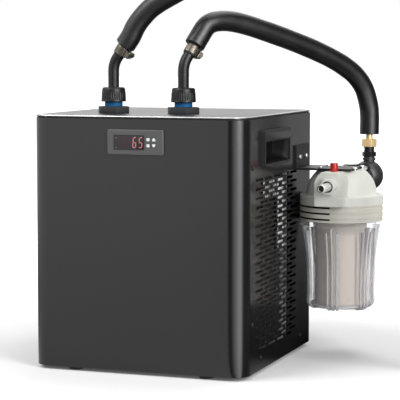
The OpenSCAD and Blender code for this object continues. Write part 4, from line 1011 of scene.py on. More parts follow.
class CHILLER_OT_unions(bpy.types.Operator):
    """Makes the hex bulkheads, seal rings, ribbed nuts, elbows, hose ends and worm clamps on the lid"""

    bl_idname = "chiller.unions"
    bl_label = "Unions"

    def execute(self, context):
        for union, (x, _) in UNIONS.items():
            at = (x, UNION_Y, 0)
            self.bulkhead(union, at)
            self.ring(union, at)
            self.nut(union, at, context.scene.chiller_sizes.nut_ribs)
            self.elbow(union)
            self.clamp(union)
        self.hose_ends()
        self.lock_nuts()
        dress(coat("white fitting plastic"), "slip_washer_left", "slip_washer_right")
        return {"FINISHED"}

    def bulkhead(self, union, at):
        flange = softened(hexagon(40.8, 0.7), 352.0, 361, 0.6)
        pitch = 1.8
        turns = [(13.2 - 0.75 * (k % 2), 330 + k * pitch / 2) for k in range(25)]
        thread = turned([(6, 330)] + turns + [(6, 352.2)], 48, closed=True)
        spigot = turned([(6, 360.6), (11, 360.6), (11, 375.4), (10.4, 376), (6, 376)], 48, closed=True)
        add_piece(
            f"bulkhead_body_{union}", [moved(s, at) for s in (flange, thread, spigot)],
            coat("bulkhead plastic"), [f"bulkhead_{union}"]
        )

    def ring(self, union, at):
        profile = [(11.05, 361), (12.1, 361), (12.6, 361.5), (12.6, 366.7), (12.1, 367.2), (11.05, 367.2)]
        add_piece(
            f"blue_ring_{union}", [moved(turned(profile, 48, closed=True), at)], blue_rubber(),
            [f"seal_ring_{union}"]
        )

    def nut(self, union, at, ribs):
        """A turned nut whose skirt swells in rounded ribs: the radius follows a raised cosine, clipped so
        that the valleys are wide."""

        def ripple(angle, z, r):
            ridge = np.clip(1.6 * np.cos(ribs * angle) - 0.2, -1, 1)
            inside = np.clip((z - 370.2) / 0.6, 0, 1) * np.clip((381 - z) / 0.6, 0, 1)
            return 0.2 * ridge * inside * (r > 15.4)

        profile = [
            (11.3, 367.7), (16.8, 367.7), (17.5, 368.2), (17.5, 369.4), (17.2, 370.2), (17.15, 370.8),
            (16.9, 375), (16.7, 380.4), (16.5, 381.4), (16.5, 384.2), (16.1, 385.8), (15.4, 387.0),
            (14.4, 387.8), (12.8, 388), (8.05, 388), (8.05, 382), (11.3, 382)
        ]
        add_piece(
            f"ribbed_nut_{union}", [moved(turned(profile, ribs * 8, ripple, closed=True), at)],
            coat("glossy black plastic"), [f"union_nut_{union}"], crease=50,
            body=f"nut_{union}"
        )

    def elbow(self, union):
        """A tube along an upright line, an arc of radius ELBOW_BEND and the leaning line, then the barbed
        tail under the hose."""
        knee = ELBOW_BEND * math.tan(LEAN / 2)
        rise = np.linspace(380, ELBOW_Z - knee - 1, 8)
        a = np.linspace(0, LEAN, 14)
        bend = np.stack([ELBOW_BEND * (1 - np.cos(a)), ELBOW_Z - knee + ELBOW_BEND * np.sin(a)], -1)
        along = np.linspace(knee + 1, 14.6, 4)
        tail = np.stack([along * math.sin(LEAN), ELBOW_Z + along * math.cos(LEAN)], -1)
        path = route_points(union, np.concatenate([np.stack([0 * rise, rise], -1), bend, tail]))
        tube = drawn(path, 7.75, 40, sideways(union))
        collar = moved(
            turned([(0, 376), (10.8, 376), (10.8, 379.4), (7.75, 379.4), (7.75, 381), (0, 381)], 40),
            (UNIONS[union][0], UNION_Y, 0)
        )
        barbs = [(0, 14)]
        for k in range(4):
            barbs += [
                (5.7, 15 + 3.9 * k), (6.35, 15.6 + 3.9 * k), (6.1, 16.6 + 3.9 * k), (5.5, 18.7 + 3.9 * k)
            ]
        barbs += [(5.5, 30.6), (0, 30.6)]
        stem = moved(turned(barbs, 32), leaning(union, 0), z=lean_axis(union), x=sideways(union))
        add_piece(
            f"elbow_{union}", [tube, collar, stem], coat("glossy black plastic"),
            [f"elbow_tail_{union}"], crease=40
        )

    def clamp(self, union):
        """A worm clamp: a band pierced by slots, its overlapping end, the screw's housing and a slotted hex
        screw."""
        here = lean_frame(union)
        screw_at = (12.6, 0, 23)

        def slots(angle, z, r):
            pulse = np.clip(3 * np.cos(26 * angle) - 0.6, 0, 1)
            return -0.55 * pulse * (np.abs(z - 23) < 4.0) * (r > 9.2)

        heights = [17.0, 17.5, 18.9, 19.1, 21, 23, 25, 26.9, 27.1, 28.5, 29.0]
        profile = [(8.85, 17.0)] + [(9.35 if h in (17.0, 29.0) else 9.6, h) for h in heights] + [(8.85, 29.0)]
        band = turned(profile, 312, slots, closed=True)
        flap = turned([(9.6, 17.6), (10.2, 17.6), (10.2, 28.4), (9.6, 28.4)], 72, closed=True)
        keep = flap[0].reshape(4, 72, 3)[:, 60:, :]
        flap = rings(keep.transpose(1, 0, 2))
        house = box((9.4, -7.2, 18.2), (15.6, 7.0, 27.8), 1.2, 3)
        rib = box((9.0, -8.2, 17.4), (10.6, 8.2, 28.6), 0.4)
        worm = moved(
            turned([(0, -8.6), (3.1, -8.6), (3.3, -8.2), (3.3, 8.0), (0, 8.0)], 24), screw_at, z=(0, 1, 0)
        )
        head = moved(softened(hexagon(6.9, 0.4), 7.8, 12.6, 0.5), screw_at, z=(0, 1, 0), x=(1, 0, 0))
        washer = moved(turned([(0, 7.6), (4.4, 7.6), (4.4, 8.3), (0, 8.3)], 24), screw_at, z=(0, 1, 0))
        # A dark bar across the screw's head: painted shade of its slot.
        slot_shade = box((9.6, 12.2, 22.6), (15.6, 12.75, 23.4), 0.1)
        add_piece(
            f"worm_clamp_{union}", [moved(s, **here) for s in (band, house, rib, flap, worm, head, washer)],
            coat("brushed stainless steel"), [f"hose_clamp_{union}"], crease=30
        )
        add_piece(f"worm_slot_painted_shade_{union}", [moved(slot_shade, **here)], coat("glossy black plastic"))

    def hose_ends(self):
        """The bare hose: a sleeve that swells on both sides of its clamp's band."""
        h = np.linspace(15.4, 30.9, 22)
        swell = 8.8 - 0.25 * np.exp(-(((h - 23) / 5.4) ** 6))
        profile = [(6.4, 15.0), (8.4, 15.0)] + list(zip(swell, h)) + [(6.4, 31)]
        shells = [moved(turned(profile, 48, closed=True), **lean_frame(union)) for union in UNIONS]
        add_piece("bare_hose_ends", shells, coat("black rubber"), ["hose_ends"])

    def lock_nuts(self):
        shells = []
        for x, _ in UNIONS.values():
            nut = stacked(
                hexagon(35.5, 1.4),
                [(4.6, 341.5), (0.8, 341.5), (0, 342.3), (0, 349.7), (0.8, 350.5), (4.5, 350.5)], closed=True
            )
            shells.append(moved(nut, (x, UNION_Y, 0)))
        add_piece("bulkhead_lock_nuts", shells, coat("glossy black plastic"), ["lock_nuts"])


# ---------------------------------------------------------------- cabinet


WIDTH, DEPTH = 310, 306
FRONT_CORNER, REAR_CORNER = 24, 2.2
LID_TOP, LID_UNDER = 352, 350.5
LID_EDGE, EDGE_Z = 2.2, 349.8


def plan(inset):
    """The cabinet's outline from above: round front corners, nearly square rear ones."""
    front, rear = FRONT_CORNER - inset, max(REAR_CORNER - inset, 0.4)
    return corners(WIDTH - 2 * inset, DEPTH - 2 * inset, [front, rear, rear, front], 12)


class CHILLER_OT_cabinet(bpy.types.Operator):
    """Makes the lid, the handles' pockets, the feet and the screws, and paints the cabinet's sheets"""

    bl_idname = "chiller.cabinet"
    bl_label = "Cabinet"

    def execute(self, context):
        dress(paint(), "front_cover", "left_panel", "right_panel", "rear_panel")
        dress(coat("base pan coat"), "base_pan")
        self.lid()
        self.feet()
        self.screws()
        for side, name in ((1, "right"), (-1, "left")):
            eased(f"handle_{name}", coat("grained black plastic"), 0.7)
            self.pocket(side, name)
        eased("power_inlet", coat("glossy black plastic"))
        return {"FINISHED"}

    def lid(self):
        """A sheet whose outline is drawn in along a quarter circle at its upper edge, with a round hole under
        each union."""
        holes = [circle(13.5, 48) + (x, UNION_Y) for x, _ in UNIONS.values()]
        t = np.linspace(0, math.pi / 2, 6)
        round_edge = [(LID_EDGE * (1 - math.cos(a)), EDGE_Z + LID_EDGE * math.sin(a)) for a in t]
        hem = [(1.5, LID_UNDER), (1.5, 349.7), (1.3, 349.5), (0.3, 349.5), (0, EDGE_Z)]
        skin = walls([(plan(i), z) for i, z in hem + round_edge])
        shells = [skin, flat(plan(LID_EDGE), holes, LID_TOP), flat(plan(1.5), holes, LID_UNDER)]
        shells += [walls([(hole, LID_UNDER), (hole, LID_TOP)]) for hole in holes]
        add_piece("lid", shells, lid_paint(), ["top_cover"], crease=30)
        # A bright near-mirror band over the front of the rounded edge: a painted highlight where the lid's
        # paint catches the light.
        bright = [
            (LID_EDGE - 2.23 * math.sin(a), EDGE_Z + 2.23 * math.cos(a))
            for a in np.radians(np.linspace(8, 58, 8))
        ]
        inner = [(LID_EDGE - 2.0 * math.sin(a), EDGE_Z + 2.0 * math.cos(a)) for a in np.radians((58, 8))]
        add_piece(
            "lid_edge_painted_highlight", [stacked(plan, bright + inner, closed=True)], coat("lid edge painted highlight")
        )
        # A recessed black band under the lid's rim: painted shade of the seam between the lid and the front
        # cover.
        add_piece(
            "lid_seam_shade",
            [stacked(plan, [(2.6, 348.02), (1.4, 348.02), (1.4, 349.4), (2.6, 349.4)], closed=True)],
            coat("black rubber")
        )

    def feet(self):
        """Turned rubber feet with a rounded sole and a hollow for their screw."""
        foot = turned(
            [(0, 1.6), (3.4, 1.6), (3.4, 0.2), (8.8, 0.0), (9.9, 0.3), (10.4, 1.2), (10.1, 5.0), (0, 5.0)], 40
        )
        places = [(x, y, 0) for x in (-96, 96) for y in (-136.5, 131)]
        add_piece(
            "rubber_feet", [moved(foot, p) for p in places], coat("black rubber"), ["feet"]
        )

    def screws(self):
        """Pan heads with a cross-shaped recess, and the shank behind each."""
        spots = [((side * 155, y, z), (side, 0, 0)) for side in (1, -1) for y, z in SIDE_SCREWS]
        spots += [((side * 146.5, 153, z), (0, 1, 0)) for side in (1, -1) for z in (320, 65)]
        shells = [moved(s, at, z=out, x=(0, 0, 1)) for at, out in spots for s in pan_head(3.0, 1.6, 8)]
        add_piece("sheet_screws", shells, coat("blackened screw steel"), ["panel_screws"])
        # Dark crosses on the heads: painted shade of their recesses.
        add_piece(
            "sheet_screw_recess_shade",
            [moved(s, at, z=out, x=(0, 0, 1)) for at, out in spots for s in painted_cross_recess(1.5, 1.62)],
            coat("black rubber")
        )

    def pocket(self, side, name):
        """A scoop behind a handle's mouth: its outline passes from the square mouth to one whose lower
        corners are wide arcs."""
        levels = [
            ((110.4, 31.2), 1.2, 1.2, -1.2), ((108.0, 29.6), 9.0, 2.0, -5.0),
            ((106.6, 28.6), 12.5, 3.0, -9.0), ((105.6, 27.8), 13.4, 4.0, -21.0),
            ((104.0, 26.6), 13.0, 5.0, -23.2)
        ]
        rows = [
            np.concatenate([corners(w, h, [low, high, high, low], 8), np.full((36, 1), z)], 1)
            for (w, h), low, high, z in levels
        ]
        outer = [r * (1.006, 1.006, 1) + (0, 0, -0.35) for r in rows]
        points = np.array(outer[::-1] + rows)
        # Near black: the handle's black plastic, and darker still as painted shade in the pocket.
        add_piece(
            f"scoop_{name}",
            [moved(rings(points), (side * 158.3, -23, 301.8), z=(side, 0, 0), x=(0, side, 0))],
            coat("black plastic with painted shade"), crease=50
        )


class CHILLER_OT_controller(bpy.types.Operator):
    """Makes the controller's bezel, its window with the digits, and its four keys"""

    bl_idname = "chiller.controller"
    bl_label = "Controller"

    def execute(self, context):
        self.bezel()
        self.window(context.scene.chiller_sizes.reading, tuple(context.scene.chiller_colours.digits))
        self.keys()
        dress(coat("controller plastic"), "controller_clips")
        return {"FINISHED"}

    def bezel(self):
        """A plate with a rounded front edge, pierced by the window's recess and the keys' holes, on a plain
        case."""
        edge = oblong(81, 34, 2.6, 8)
        window = corners(44.6, 20.6, [0.6] * 4, 3) + PANE_PLACE
        keys = [corners(5.9, 5.9, [0.9] * 4, 3) + place for place in KEY_PLACES]
        t = np.linspace(0, math.pi / 2, 5)
        outline = walls(
            [(edge(0), 0.05), (edge(0), 2.2)]
            + [(edge(1.3 * (1 - math.cos(a))), 2.2 + 1.3 * math.sin(a)) for a in t]
        )
        shells = [
            outline, flat(edge(1.3), [window] + keys, 3.5), flat(edge(0), [], 0.05), flat(window, [], 2.9),
            walls([(window, 2.9), (window, 3.5)])
        ]
        for hole in keys:
            shells += [flat(hole, [], 0.9), walls([(hole, 0.9), (hole, 3.5)])]
        case = box((-35.5, -14.5, -58), (35.5, 14.5, 0.3), 0.8)
        add_piece(
            "controller_bezel", facing(shells + [case], CONTROLLER),
            coat("controller plastic"), ["controller_case"], crease=30
        )

    def window(self, reading, light):
        """A smoked pane in its recess, with seven-stroke digits that slant forwards, the unlit ones showing
        faintly."""
        add_piece(
            "smoked_pane",
            facing([moved(softened(oblong(44, 20, 0.7, 3), 2.85, 3.2, 0.12), (*PANE_PLACE, 0))], CONTROLLER),
            coat("smoked display window"), ["display_window"]
        )
        frame_line = walls(
            [
                (corners(44.0 - 2 * i, 20.0 - 2 * i, [0.6] * 4, 3) + PANE_PLACE, z)
                for i, z in ((0.0, 3.2), (0.0, 3.26), (1.1, 3.26), (1.1, 3.2))
            ],
            closed=True
        )
        add_piece("pane_frame", facing([frame_line], CONTROLLER), coat("black rubber"))
        places = {3: -25.8, 2: -16.6, 1: -4.4, 0: 4.4}
        lit, unlit = [], []
        digits = reading.rjust(4)[-4:]
        for k, x in places.items():
            strokes = DIGIT_STROKES.get(digits[3 - k], "")
            for stroke, ends in STROKE_ENDS.items():
                (lit if stroke in strokes else unlit).append(moved(bar(*ends), (x, -7.8, 0)))
        add_piece(
            "lit_digits", facing([slanted(s) for s in lit], CONTROLLER),
            glowing("lit digits", light, 0.3)
        )
        add_piece(
            "unlit_digits", facing([slanted(s) for s in unlit], CONTROLLER),
            glowing("unlit digits", (0.045, 0.008, 0.009), 0.0)
        )
        dots = [
            moved(turned([(0, 3.2), (0.9, 3.2), (0.9, 3.25), (0, 3.28)], 16), (-27.6, y, 0))
            for y in (5.8, -7.3)
        ]
        add_piece(
            "display_lamps", facing(dots, CONTROLLER),
            glowing("display lamps", (0.16, 0.13, 0.13), 0.0)
        )

    def keys(self):
        """Rounded keys, each with a raised white mark: two near squares, an arrow up and an arrow down."""
        arrow = np.array([(-2.2, -2.2), (2.2, -2.2), (2.2, 0.2), (0, 2.4), (-2.2, 0.2)])
        square = corners(4.6, 4.2, [0.7] * 4, 4)
        marks = {
            "set": [square], "up": [arrow], "power": [square * (0.95, 1.0)], "down": [arrow[::-1] * (1, -1)]
        }
        for name, place in zip(KEY_NAMES, KEY_PLACES):
            cap = moved(softened(oblong(5.0, 5.0, 0.9, 4), 1.75, 4.05, 0.4), (*place, 0))
            add_piece(
                f"key_cap_{name}", facing([cap], CONTROLLER),
                coat("controller plastic"), [f"key_{name}"], body=f"key_{name}"
            )
            shells = [moved(prism(mark, 4.0, 4.1), (*place, 0)) for mark in marks[name]]
            # The white print gets a faint painted glow of its own.
            add_piece(
                f"key_mark_{name}", facing(shells, CONTROLLER),
                glowing("key marks painted glow", (0.72, 0.73, 0.74), 0.12), body=f"key_{name}"
            )


# ---------------------------------------------------------------- filter


def filter_base(z):
    """The cap's radius without its ports: a dome that steps out to the skirt, with three grooves round it."""
    dome = np.interp(z, DOME[:, 0], DOME[:, 1])
    skirt = 60.0 - 1.4 * sum(np.clip((1.36 - np.abs(z - g)) / 0.12, 0, 1) for g in GROOVES)
    return np.where(z > 232.2, dome, skirt - 0.5 * np.clip((z - 231.5) / 0.7, 0, 1) ** 2)


def cap_radius(angle, z):
    """The larger of the dome's radius and the ports' bosses, blended softly. A boss is 42 wide with an arched
    top and flat ends PORT_REACH from the axis, so its polar radius is the lesser of reach/|sin| and half
    width/|cos|."""
    base = filter_base(z)
    half = np.sqrt(np.clip(21.0**2 - np.clip(z - 250.2, 0, None) ** 2, 100, None))
    boss = np.minimum(
        PORT_REACH / np.maximum(np.abs(np.sin(angle)), 1e-3), half / np.maximum(np.abs(np.cos(angle)), 1e-3)
    )
    boss = np.where(z > 219.7, boss, 0)
    gap = boss - base
    blend = 2.0 * (z > 219.7)
    return np.where(
        gap < -8, base, (base + np.maximum(boss, 0) + np.sqrt(gap**2 + blend**2)) / 2 - 0.15 * (gap > -8)
    )


class CHILLER_OT_filter(bpy.types.Operator):
    """Makes the filter's cap, clear bowl, cartridge, inlet, relief button and bracket"""

    bl_idname = "chiller.filter"
    bl_label = "Water filter"

    def execute(self, context):
        axis = (*FILTER, 0)
        self.cap(axis)
        self.bowl(axis)
        self.cartridge(axis)
        self.relief()
        self.inlet()
        self.bracket()
        dress(coat("black rubber"), "bowl_seal")
        return {"FINISHED"}

    def cap(self, axis):
        """Outside, the radius of cap_radius at each angle and height; inside, a plain bore, a ceiling and a
        nipple."""
        angle = np.sort(
            np.concatenate([
                np.arange(0, 360, 1.5), np.arange(66, 115, 0.75) + 0.3, np.arange(246, 295, 0.75) + 0.3
            ])
        ) * TURN / 360
        heights = np.concatenate([
            [195.2, 195.5], *[[g - 1.37, g - 1.23, g + 1.23, g + 1.37] for g in GROOVES[::-1]],
            [219.6, 219.75, 222, 226, 230, 231.5, 231.9, 232.2, 232.25], np.arange(234, 267, 1.5),
            [266.6, 267.2, 267.5]
        ])
        inner = [
            (4.4, 262.0), (4.4, 214.7), (11.6, 214.7), (12, 215.2), (12, 224.7), (54.6, 224.7), (55.3, 224.0),
            (55.3, 195.2)
        ]
        a, z = np.meshgrid(angle, heights)
        r = cap_radius(a, z)
        r[0] -= 0.3
        inside = np.array(inner)[:, :, None] * np.ones((1, 1, len(angle)))
        top_r = np.stack([r[-1] * share for share in (0.985, 0.5, 0.0)])
        top_z = np.full((3, len(angle)), 267.7)
        r = np.concatenate([inside[:, 0], r, top_r])
        z = np.concatenate([inside[:, 1], z, top_z])
        a = np.broadcast_to(angle, r.shape)
        shell = rings(np.stack([r * np.cos(a), r * np.sin(a), z], -1))
        collar = moved(
            turned(
                [
                    (0, 250), (7.4, 250), (6.9, 258), (6.7, 266.8), (6.2, 267.5), (5.75, 267.5),
                    (5.75, 260.8), (0, 260.8)
                ],
                40
            ),
            (0, BUTTON_Y, 0)
        )
        ports = [
            moved(
                turned([(7.6, 0.02), (10.2, 0.02), (10.0, 0.5), (7.6, 0.5)], 40, closed=True),
                (0, side * PORT_REACH, PORT_Z), z=(0, side, 0)
            )
            for side in (-1, 1)
        ]
        add_piece(
            "cap_moulding", [moved(s, axis) for s in (shell, collar, *ports)], cap_plastic(),
            ["filter_cap"], crease=38
        )
        # Black bands at the bottom of the grooves on one side of the skirt: painted shade, as if the grooves
        # ran deep.
        sector = np.radians(np.linspace(166, 269, 64))
        slots = []
        for g in GROOVES:
            ring = np.array([
                [(r * math.cos(s), r * math.sin(s), z) for s in sector]
                for r, z in ((58.5, g - 1.38), (59.3, g - 1.38), (59.3, g + 1.38), (58.5, g + 1.38))
            ])
            slots.append(moved(rings(ring.transpose(1, 0, 2)), axis))
        add_piece("grip_groove_painted_shade", slots, coat("black plastic with painted shade"))

    def bowl(self, axis):
        """A clear shell; six groups of three upright ribs, each rib a narrow bell across the angle, run down
        it and round its foot."""

        def ribs(angle, z, r):
            from_group = (angle + math.radians(90) + math.pi / 6) % (TURN / 6) - math.pi / 6
            rib = sum(
                np.exp(-(((from_group - math.radians(k * ROD_SPACING)) / math.radians(1.35)) ** 4))
                for k in (-1, 0, 1)
            )
            return 0.5 * rib * np.clip((187 - z) / 8, 0, 1) * np.clip((r - 36) / 6, 0, 1)

        foot = [
            (47.9 - 9 + 9 * math.sin(t), 67 + 1.6 + 9 * (1 - math.cos(t)))
            for t in np.linspace(0, math.pi / 2, 7)
        ]
        wall = list(zip(np.linspace(47.1, 49.3, 12), np.linspace(79, 178, 12)))
        outside = [(0, 68.4), (20, 68.3), (34, 68.3)] + foot + wall
        outside += [
            (50.4, 180.6), (50.9, 181.6), (52.2, 183.4), (58.9, 187.2), (59.5, 187.8), (59.5, 194.2),
            (59.1, 194.7), (54.9, 194.7), (54.9, 219.6), (54.4, 220.2)
        ]
        inside = [(51.4, 220.2), (50.9, 219.6), (50.9, 188), (49.4, 184), (48.2, 180), (46.2, 178)]
        inside += [(r - 3, z) for r, z in wall[::-1][1:]]
        inside += [(43.6, 77), (41, 73.5), (36, 71.2), (20, 71.0), (0, 71.0)]
        shells = [moved(turned(outside + inside, 432, ribs), axis)]
        self.rods(axis, np.array([(36.5, 68.9), (39.5, 68.9)] + foot[1:] + wall[1:-1]))
        stand = turned([(17, 70.5), (20, 70.5), (20, 72.9), (17, 72.9)], 48, closed=True)
        shells.append(moved(stand, axis))
        add_piece("clear_bowl", shells, clear(), ["filter_bowl"], crease=40, body="bowl")

    def rods(self, axis, line):
        """Six groups of three rods that follow the bowl's wall and flare out near its top, each on a thin
        web, and a rounded ring at the foot."""
        rods = []
        for k in range(18):
            turn = math.radians(-90 + 60 * (k // 3) + ROD_SPACING * (k % 3 - 1))
            top, out = (187.5, 7.0) if k % 3 == 1 else (180.5, 4.5)
            path = np.concatenate([line, [(49.4, top - 1.5), (49.5, top)]]) + (0.2, 0)
            path[:, 0] += out * np.clip((path[:, 1] - 128) / (top - 128), 0, 1) ** 1.4
            edge = smooth(path, 2)
            across = (-math.sin(turn), math.cos(turn), 0)
            rods.append(
                moved(
                    drawn(
                        np.stack([edge[:, 0] * math.cos(turn), edge[:, 0] * math.sin(turn), edge[:, 1]], -1),
                        1.75, 14, across
                    ),
                    axis
                )
            )
            web = np.concatenate([edge[edge[:, 1] > 127], [(48.5, top), (47.6, 127)]])
            rods.append(
                moved(
                    prism(web, -0.9, 0.9), axis, z=(math.sin(turn), -math.cos(turn), 0),
                    x=(math.cos(turn), math.sin(turn), 0)
                )
            )
        t = np.arange(16) * TURN / 16
        rods.append(
            moved(
                turned([(42.3 + 2.5 * math.cos(a), 72.6 + 2.5 * math.sin(a)) for a in t], 120, closed=True),
                axis
            )
        )
        add_piece("bowl_ribs", rods, clear_rib(), crease=60, body="bowl")

    def cartridge(self, axis):
        """A sleeve of wound media that bulges very slightly between two moulded end caps, and the caps'
        rolled rims."""
        z = np.linspace(76.6, 214.4, 30)
        wound = [(r, h) for r, h in zip(36.9 + 0.25 * np.sin((z - 76) / 138 * math.pi), z)]
        sleeve = turned([(12.6, 76.6)] + wound + [(12.6, 214.4)], 96, closed=True)
        low = turned(
            [(12.4, 72.4), (37.4, 72.4), (38, 73.0), (38, 76.4), (37.6, 76.9), (12.4, 76.9)], 96, closed=True
        )
        high = turned(
            [(12.4, 214.2), (37.6, 214.2), (38, 214.8), (38, 218.0), (37.4, 218.7), (12.4, 218.7)], 96,
            closed=True
        )
        add_piece(
            "wound_cartridge", [moved(s, axis) for s in (sleeve, low, high)], media(),
            ["filter_cartridge"], body="cartridge"
        )

    def relief(self):
        """A red cap, slightly narrower at its foot, with a dished top."""
        profile = [
            (0, 263.1), (5.2, 263.1), (5.3, 267.6), (5.5, 268.2), (5.5, 279.0), (5.0, 279.8), (4.2, 279.9),
            (0, 279.3)
        ]
        add_piece(
            "red_button", [moved(turned(profile, 40), (FILTER[0], FILTER[1] + BUTTON_Y, 0))],
            coat("red button plastic"), ["relief_button"], body="relief_button"
        )

    def inlet(self):
        """A hex with a ring-shaped recess in its face, from which the open hose tail comes forward."""
        at = (FILTER[0], FILTER[1] - PORT_REACH, PORT_Z)
        hexagonal = hexagon(22.1, 1.0)
        face = [(hexagonal(0.7), 8.0), (hexagonal(0.0), 7.3), (hexagonal(0.0), 0.2)]
        shells = [
            walls(face), flat(hexagonal(0.7), [circle(8.2)], 8.0),
            walls([(circle(8.2), 8.0), (circle(8.2), 3.4)]), flat(circle(8.2), [circle(5.9)], 3.4),
            flat(hexagonal(0.0), [], 0.2)
        ]
        tail = [
            (5.9, 3.4), (5.9, 36.0), (6.1, 36.3), (6.1, 38.2), (5.75, 38.6), (5.75, 41.4), (5.2, 42.0),
            (4.2, 42.0), (3.9, 41.6), (3.9, 0.6), (0.0, 0.6)
        ]
        shells.append(walls([(circle(max(r, 0.001)), z) for r, z in tail]))
        add_piece(
            "inlet_tail", [moved(s, at, z=(0, -1, 0), x=(1, 0, 0)) for s in shells],
            coat("white fitting plastic"), ["inlet_fitting"]
        )
        # Black rings in the recess round the tail and across the mouth's end, and a disc down the bore:
        # painted shade where these hollows are dark.
        dark = [
            turned([(6.2, 3.45), (8.15, 3.45), (8.15, 3.6), (6.2, 3.6)], 48, closed=True),
            turned([(0, 38), (3.85, 38), (3.85, 38.4), (0, 38.4)], 32),
            turned([(3.9, 41.7), (5.0, 41.7), (5.0, 42.05), (4.0, 42.05)], 40, closed=True)
        ]
        add_piece(
            "inlet_painted_shade", [moved(s, at, z=(0, -1, 0), x=(1, 0, 0)) for s in dark],
            coat("black rubber")
        )

    def bracket(self):
        eased("filter_bracket", coat("bracket coat"))
        spots = [((158, FILTER[1] + y, 285.5), (1, 0, 0)) for y in (-16, 16)]
        spots += [((FILTER[0] + x, FILTER[1] + y, 271), (0, 0, 1)) for x in (-25.5, 25.5) for y in (-21, 21)]
        shells = [moved(s, at, z=out, x=(0, 1, 0)) for at, out in spots for s in pan_head(3.6, 2.0, 9)]
        add_piece("bracket_bolts", shells, coat("zinc plated screw"), ["bracket_screws"])
        # Dark crosses on the heads: painted shade of their recesses.
        add_piece(
            "bracket_bolt_recess_shade",
            [moved(s, at, z=out, x=(0, 1, 0)) for at, out in spots for s in painted_cross_recess(1.8, 2.02)],
            coat("black rubber")
        )


class CHILLER_OT_valve(bpy.types.Operator):
    """Makes the outlet valve's body and lever, and the swivel nut and brass connector over it"""

    bl_idname = "chiller.valve"
    bl_label = "Outlet valve"

    def execute(self, context):
        self.body()
        self.lever()
        self.fittings()
        dress(coat("brushed stainless steel"), "valve_ball")
        return {"FINISHED"}

    def body(self):
        """A ball cut flat towards the lever, a collar to the filter and an upright riser, each ringed where
        it meets the next."""
        at = (VALVE[0] - 1.5, VALVE[1], PORT_Z + 4)
        angle = np.linspace(0, math.pi, 40)
        radius = 22.9
        bulb = [(radius * math.sin(t), -radius * math.cos(t)) for t in angle if -radius * math.cos(t) <= 19.0]
        ball = turned([(0, -radius)] + bulb[1:] + [(12.6, 19.2), (12.0, 19.3), (0, 19.3)], 72)
        collar_l = VALVE[1] - FILTER[1] - PORT_REACH
        collar = moved(
            turned(
                [
                    (0, 0), (9.2, 0.0), (9.5, 0.4), (9.5, 4.2), (9.1, 4.6), (9.1, 6.4), (9.5, 6.8),
                    (9.5, collar_l), (0, collar_l)
                ],
                48
            ),
            (FILTER[0], FILTER[1] + PORT_REACH, PORT_Z), z=(0, 1, 0)
        )
        top = RISER_TOP
        riser = turned(
            [
                (0, PORT_Z + 4), (8.2, PORT_Z + 4), (8.2, top - 5.6), (9.6, top - 5.0), (9.6, top - 2.4),
                (8.2, top - 1.8), (8.2, top - 0.1), (0, top - 0.1)
            ],
            48
        )
        seat = moved(
            turned([(2.2, 0), (7.6, 0), (7.6, 1.6), (7.0, 2.0), (2.2, 2.0)], 40, closed=True),
            (VALVE[0], VALVE[1] - 17.4, LEVER_PIVOT[2]), z=(0, -1, 0)
        )
        add_piece(
            "valve_body",
            [moved(ball, at, z=(0, -1, 0), x=(1, 0, 0)), collar, moved(riser, (*VALVE, 0)), seat],
            coat("valve plastic"), ["outlet_valve"], crease=40
        )

    def lever(self):
        """A hub, a tapering arm that stands a little above the bracket's shelf, its bright tip, and a bright
        pivot screw."""
        drop = math.atan2(-2.2, 34)
        hub = moved(
            turned([(0, 0), (6.1, 0), (6.2, 0.3), (6.2, 3.6), (5.8, 4.0), (0, 4.0)], 36), LEVER_PIVOT,
            z=(0, -1, 0)
        )
        stem = moved(turned([(0, 0.1), (1.9, 0.1), (1.9, 15.2), (0, 15.2)], 24), LEVER_PIVOT, z=(0, 1, 0))
        arm = np.array([
            (2.0, -4.0), (2.0, 5.4), (-8, 4.9), (-22, 3.2), (-29.5, 2.6), (-29.5, -2.6), (-22, -3.0),
            (-8, -3.9)
        ])
        tip = np.array([
            (-29.0, -3.2), (-29.0, 3.2), (-32.8, 2.9), (-34.0, 1.6), (-34.0, -1.6), (-32.8, -2.9)
        ])
        tilted = dict(origin=LEVER_PIVOT, z=(0, -1, 0), x=(math.cos(drop), 0, math.sin(drop)))
        add_piece(
            "lever_arm", [hub, stem, moved(prism(arm, 0.4, 3.5, 0.4), **tilted)],
            coat("lever coat"), ["valve_lever"], crease=30, body="lever"
        )
        bright = [moved(prism(tip, 0.3, 3.9, 0.5), **tilted)]
        bright.append(
            moved(
                turned([(0, 3.9), (3.5, 3.9), (3.5, 5.2), (2.9, 6.1), (1.2, 6.4), (0, 6.4)], 32), LEVER_PIVOT,
                z=(0, -1, 0)
            )
        )
        add_piece("lever_screw_and_tip", bright, coat("zinc plated screw"), body="lever")

    def fittings(self):
        """Two hexes with chamfered corners, each on a turned neck."""
        low = RISER_TOP
        hexes = hexagon(18.7, 0.8)
        nut = stacked(
            hexes,
            [
                (5.6, low + 0.1), (0.7, low + 0.1), (0, low + 0.8), (0, low + 6.2), (0.7, low + 6.9),
                (5.6, low + 6.9)
            ],
            closed=True
        )
        neck = turned(
            [
                (3.6, low + 6), (7.6, low + 6), (7.6, low + 9.8), (7.1, low + 10.2), (7.1, low + 11),
                (7.6, low + 11.4), (7.6, low + 14.4), (3.6, low + 14.4)
            ],
            48, closed=True
        )
        add_piece(
            "black_swivel_nut", [moved(s, (*VALVE, 0)) for s in (nut, neck)],
            coat("glossy black plastic"), ["swivel_nut"]
        )
        up = low + 14.5
        hexes = hexagon(19.9, 0.7)
        grip = stacked(
            hexes, [(6.0, up), (0.9, up), (0, up + 0.9), (0, up + 10.6), (0.9, up + 11.5), (6.0, up + 11.5)],
            closed=True
        )
        neck = turned(
            [
                (3.6, up + 11), (5.4, up + 11), (5.4, up + 12.4), (4.9, up + 12.9), (4.9, up + 18.9),
                (3.6, up + 18.9)
            ],
            40, closed=True
        )
        add_piece(
            "brass_nut", [moved(s, (*VALVE, 0)) for s in (grip, neck)], coat("machined brass"),
            ["brass_connector"]
        )


# ---------------------------------------------------------------- inside


